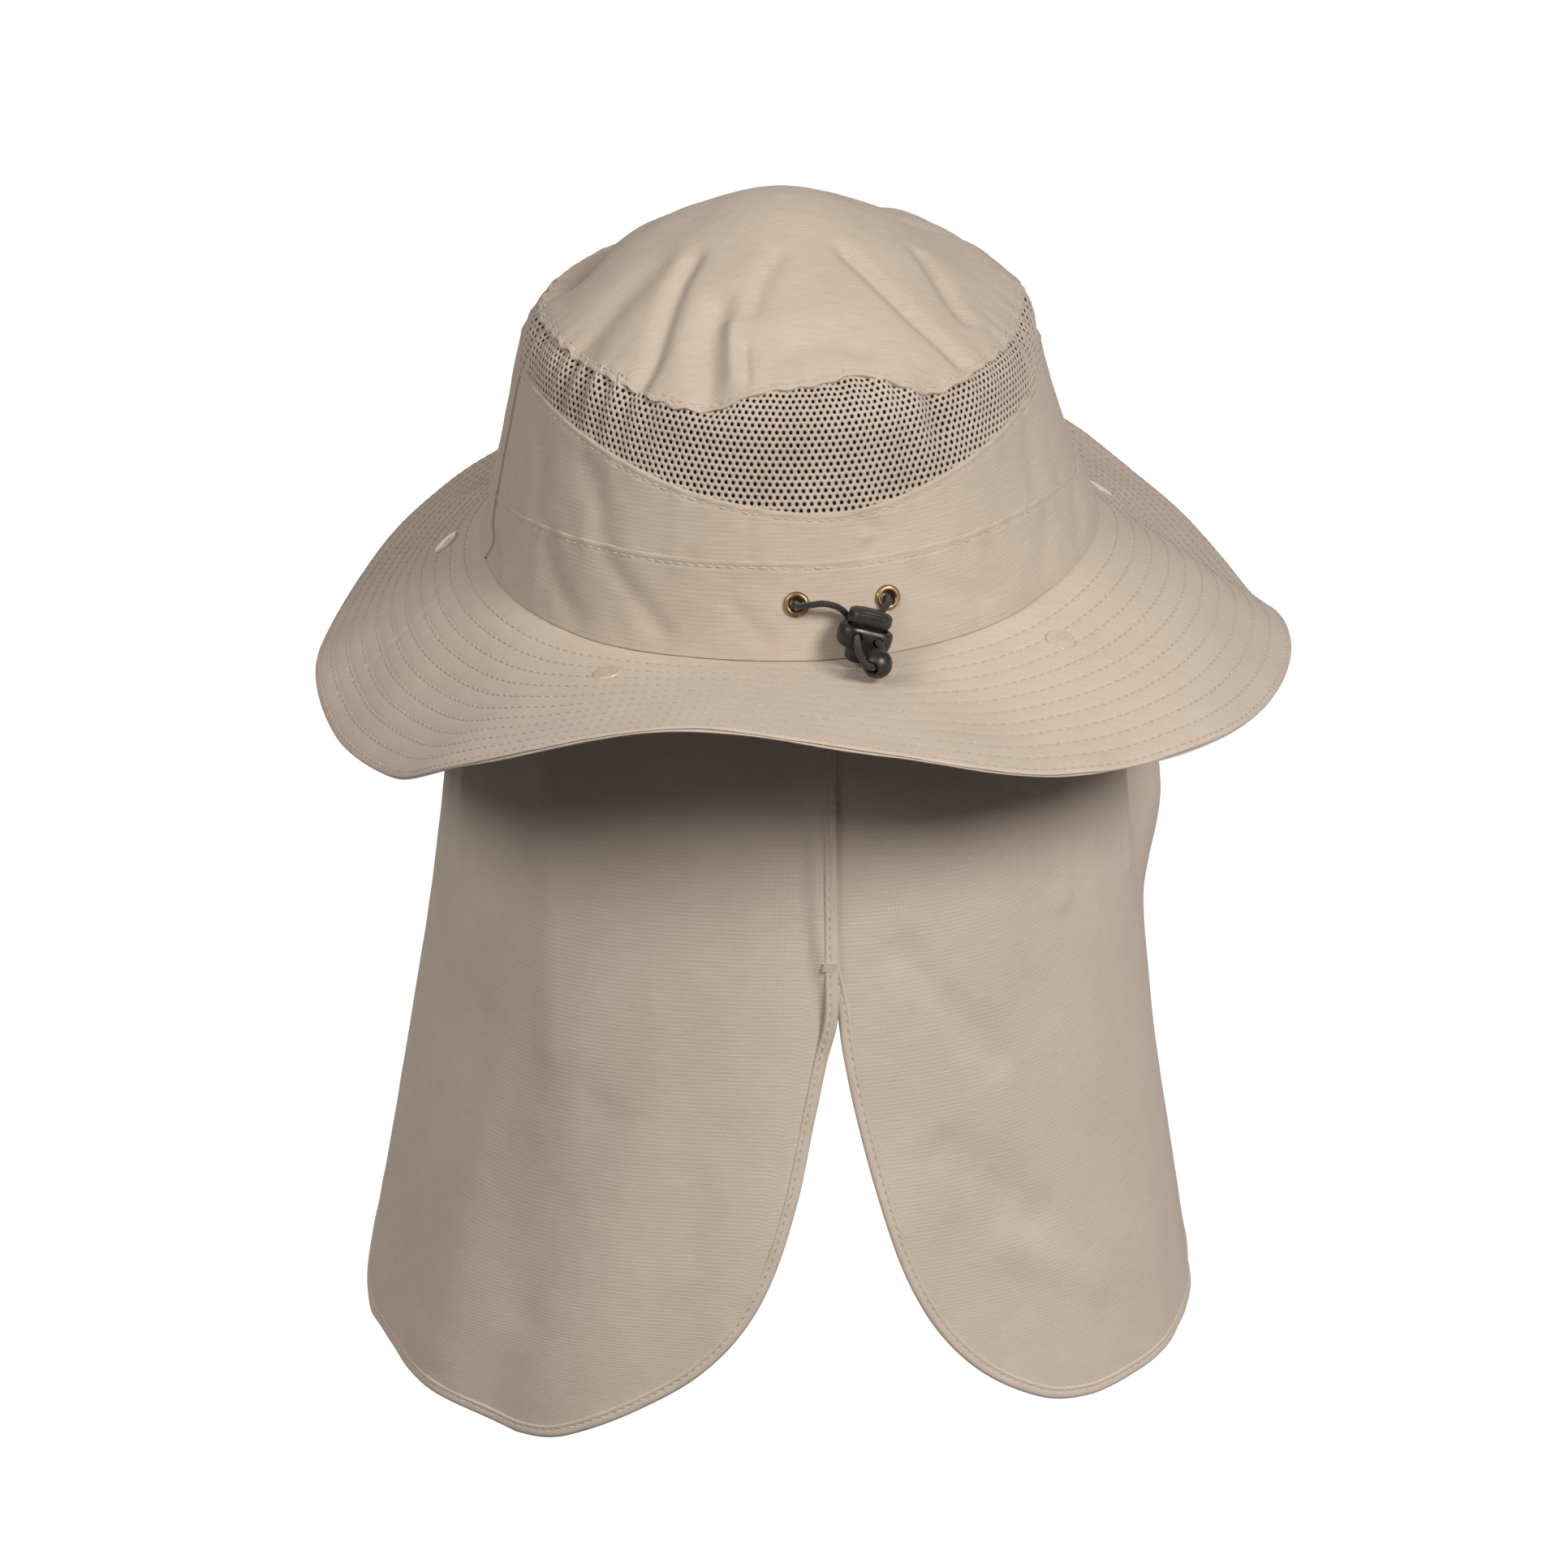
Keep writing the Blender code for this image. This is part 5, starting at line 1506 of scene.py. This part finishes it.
def run_along(grid, axis):
    """How far each point of a grid is from the first one, along one of its axes."""
    steps = np.linalg.norm(np.diff(grid, axis=axis), axis=2)
    start = 0 * np.take(steps, [0], axis=axis)
    return np.concatenate([start, np.cumsum(steps, axis=axis)], axis=axis)


def edge_distance(grid):
    """Each point's rough distance from the panel's free edges."""
    from_centre, from_top = run_along(grid, 0), run_along(grid, 1)
    sideways = np.minimum(from_centre, from_centre[-1:] - from_centre)
    return np.minimum(sideways, from_top[:, -1:] - from_top)


def outline(grid, normals, first):
    """The free edges of a grid as one line with its normals, from row first down and round."""
    def walk(values):
        return np.concatenate([values[0, first:], values[1:-1, -1], values[-1, first:][::-1]])

    return walk(grid), walk(normals)


def smooth_line(line, normals, step):
    """The line with even steps, its normals and the direction across the cloth, into the panel."""
    run = np.r_[0, np.cumsum(np.linalg.norm(np.diff(line, axis=0), axis=1))]
    stops = np.linspace(0, run[-1], round(run[-1] / step))
    line = np.stack([np.interp(stops, run, line[:, k]) for k in range(3)], axis=1)
    normals = np.stack([np.interp(stops, run, normals[:, k]) for k in range(3)], axis=1)
    for _ in range(3):
        line[1:-1] = line[1:-1] / 2 + (line[2:] + line[:-2]) / 4
    ahead = unit(np.gradient(line, axis=0))
    normals = unit(normals - ahead * (normals * ahead).sum(axis=1, keepdims=True))
    return line, normals, np.cross(normals, ahead)


# Painted light: the cape is the crown's khaki nylon, given here as a lighter copy that brightens it.
cape_nylon_painted_light = woven_nylon(
    "cape_nylon_painted_light",
    screen_colour(203, 186, 169),
    screen_colour(214, 199, 183),
    screen_colour(188, 171, 154),
    rib=0.45,
    sheen=0.12,
    roughness=0.8,
)
cape_thread = sewing_thread("cape_thread", screen_colour(200, 184, 166))
capes, cape_outlines = {}, {}
for side, name, node in ((-1, "cape_left_panel", "cape_left"), (1, "cape_right_panel", "cape_right")):
    grid = cape_grid(side)
    normals = grid_normals(grid, side)
    rows_down = np.arange(grid.shape[1])
    hangs = ease((rows_down - 12) / 25)[None, :]
    off_edge = edge_distance(grid)
    small = 0.3 * MM * ripple(grid * (1, 1, 0.45), 40 * MM, 51) + 0.05 * MM * ripple(grid, 13 * MM, 52)
    hem_draw = 0.12 * MM * ripple(grid, 17 * MM, 53) * np.exp(-off_edge / (8 * MM))
    relief = (small + hem_draw + wrinkle_depth(grid, side)) * hangs
    grid = grid + normals * relief[..., None]
    normals = grid_normals(grid, side)
    outer = grid + normals * CAPE_WALL
    inner = grid + normals * (CAPE_WALL - CAPE_CLOTH)
    flat = np.stack([run_along(grid, 0), run_along(grid, 1)], axis=2) / MM
    cape = cloth_wall(name, outer, inner, flat, cape_nylon_painted_light)
    line, line_normals, inwards = smooth_line(*outline(outer, normals, 8), 1.5 * MM)
    middle = outer[len(outer) // 2, outer.shape[1] // 2]
    if ((middle - line[len(line) // 2]) @ inwards[len(line) // 2]) < 0:
        inwards = -inwards
    section = np.array(HEM_SECTION) * MM
    hem = swept(name.replace("panel", "hem"), line, inwards, line_normals, section, cape_nylon_painted_light)
    stitch_line = line + inwards * HEM_STITCH + line_normals * 0.16 * MM
    rows = [(stitch_line, line_normals)]
    back_line = line + inwards * HEM_STITCH - line_normals * (CAPE_CLOTH + 0.16 * MM)
    rows.append((back_line, -line_normals))
    stitches_name = name.replace("panel", "stitches")
    stitches = sewn(stitches_name, rows, cape_thread, pitch=3.0 * MM, length=2.2 * MM, seed=6)
    for piece in (cape, hem):
        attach(piece, "root")
    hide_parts(node)
    capes[side] = (cape, hem, stitches)
    cape_outlines[side] = (line, line_normals, inwards)

# Bar tacks. Two short, dense bars of stitching that hold the left panel's folded edge down on the
# right one, above the slit.
TACK_THREADS = 7
TACK_STEP = 0.42 * MM
TACK_WIDTH = 4.8 * MM
TACK_HEIGHTS = (-42 * MM, -91 * MM)

line, line_normals, inwards = cape_outlines[-1]
tacks = []
for height in TACK_HEIGHTS:
    at_height = int(np.abs(line[: len(line) // 3, 2] - height).argmin())
    place, normal, across = line[at_height], line_normals[at_height], inwards[at_height]
    for number in range(TACK_THREADS):
        low = place + np.array((0, 0, 1.0)) * (number - TACK_THREADS / 2) * TACK_STEP
        ends = np.stack([low + across * (HEM_STITCH + s * TACK_WIDTH / 2) for s in (-1, 0, 1)])
        ends = ends + normal * 0.42 * MM
        tacks.append((ends, np.stack([normal] * 3)))
tack_pitch = 0.98 * TACK_WIDTH
bars = sewn("bar_tacks", tacks, cape_thread, tack_pitch, TACK_WIDTH, width=0.5 * MM, seed=7)

# Snaps. Four plastic snaps, each with a domed cap on the brim, a post through brim and flange, and a
# socket below that clicks on to it.
SNAP_AZIMUTHS = (-108, -36, 36, 108)
# Half width and height over the brim's face, in millimetres, from the socket up to the cap's middle
SNAP_RINGS = (
    (0.5, -5.1),
    (1.3, -5.15),
    (1.5, -5.35),
    (2.9, -5.4),
    (3.4, -5.15),
    (3.7, -4.6),
    (3.7, -4.0),
    (3.5, -3.7),
    (1.6, -3.6),
    (1.6, -0.3),
    (4.1, -0.3),
    (4.4, -0.1),
    (4.5, 0.15),
    (4.47, 0.4),
    (4.3, 0.6),
    (4.0, 0.7),
    (3.6, 0.68),
    (2.4, 0.74),
    (1.2, 0.8),
    (0.3, 0.82),
)


def snap_plastic():
    """Glossy tinted plastic with faint flow marks and a slightly scuffed shine."""
    material, tree, shader = new_material("snap_gloss", 0.25, coat=0.3, specular=0.5)
    place = add_node(tree, "ShaderNodeTexCoord").outputs["Object"]
    flow = add_node(tree, "ShaderNodeTexNoise", Vector=place, Scale=420.0, Detail=4.0).outputs[0]
    scuffs = add_node(tree, "ShaderNodeTexNoise", Vector=place, Scale=2600.0, Detail=3.0).outputs[0]
    colour = ramp(tree, flow, (0.3, screen_colour(186, 169, 151)), (0.7, screen_colour(198, 182, 165)))
    tree.links.new(colour, shader.inputs["Base Color"])
    tree.links.new(ramp(tree, scuffs, (0.4, 0.2), (0.75, 0.38)), shader.inputs["Roughness"])
    bumped(tree, shader, scuffs, 0.015 * MM)
    return material


glossy = snap_plastic()
for number, azimuth in enumerate(SNAP_AZIMUTHS, 1):
    snap = raised(f"snap_cap_{number}", [(radius, radius, height) for radius, height in SNAP_RINGS], 36)
    normal = brim_normal(azimuth, SNAP_REACH)
    matrix = seat(brim_skin(azimuth, SNAP_REACH), normal, outward(azimuth))
    placed(snap, matrix @ in_metres, glossy)
    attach(snap, "root")
    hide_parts(f"snap_{number}")
for side, first in ((-1, 1), (1, 3)):
    cape, hem, stitches = capes[side]

# Eyelets. Two rolled brass rings with an antique finish, set in the lower band for the draw cord.
# Half width and height over the band, in millimetres, round the rolled rim and down the barrel
EYELET_RINGS = (
    (2.45, 0.1),
    (3.3, 0.05),
    (3.62, 0.12),
    (3.75, 0.35),
    (3.72, 0.62),
    (3.5, 0.95),
    (3.15, 1.18),
    (2.75, 1.24),
    (2.4, 1.1),
    (2.15, 0.8),
    (2.02, 0.4),
    (2.0, -0.2),
    (2.0, -1.6),
    (2.4, -1.6),
    (2.45, 0.1),
)


def antique_brass():
    """Plated brass gone brown: random patches of brown, gold and rubbed brightness, with fine scratches.
    """
    material, tree, shader = new_material("aged_brass", 0.35, metallic=1)
    place = add_node(tree, "ShaderNodeTexCoord").outputs["Object"]
    patina = add_node(tree, "ShaderNodeTexNoise", Vector=place, Scale=480.0, Detail=6.0).outputs[0]
    fine = add_node(tree, "ShaderNodeTexNoise", Vector=place, Scale=4200.0, Detail=3.0).outputs[0]
    brown, gold = screen_colour(92, 72, 48), screen_colour(158, 130, 92)
    rubbed = screen_colour(196, 170, 128)
    colour = ramp(tree, patina, (0.3, brown), (0.5, gold), (0.72, rubbed))
    tree.links.new(colour, shader.inputs["Base Color"])
    tree.links.new(ramp(tree, patina, (0.3, 0.55), (0.7, 0.28)), shader.inputs["Roughness"])
    bumped(tree, shader, fine, 0.02 * MM)
    return material


brass = antique_brass()
for name, node, azimuth in zip(
    ("brass_ring_left", "brass_ring_right"), ("eyelet_left", "eyelet_right"), EYELET_AZIMUTHS
):
    ring = raised(name, [(radius, radius, height) for radius, height in EYELET_RINGS], 48, loop=True)
    way = float(way_to_height(EYELET_HEIGHT / CROWN_HEIGHT))
    placed(ring, seat(crown_cloth(azimuth, way), crown_normal(azimuth, way)) @ in_metres, brass)
    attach(ring, "root")
    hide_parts(node)
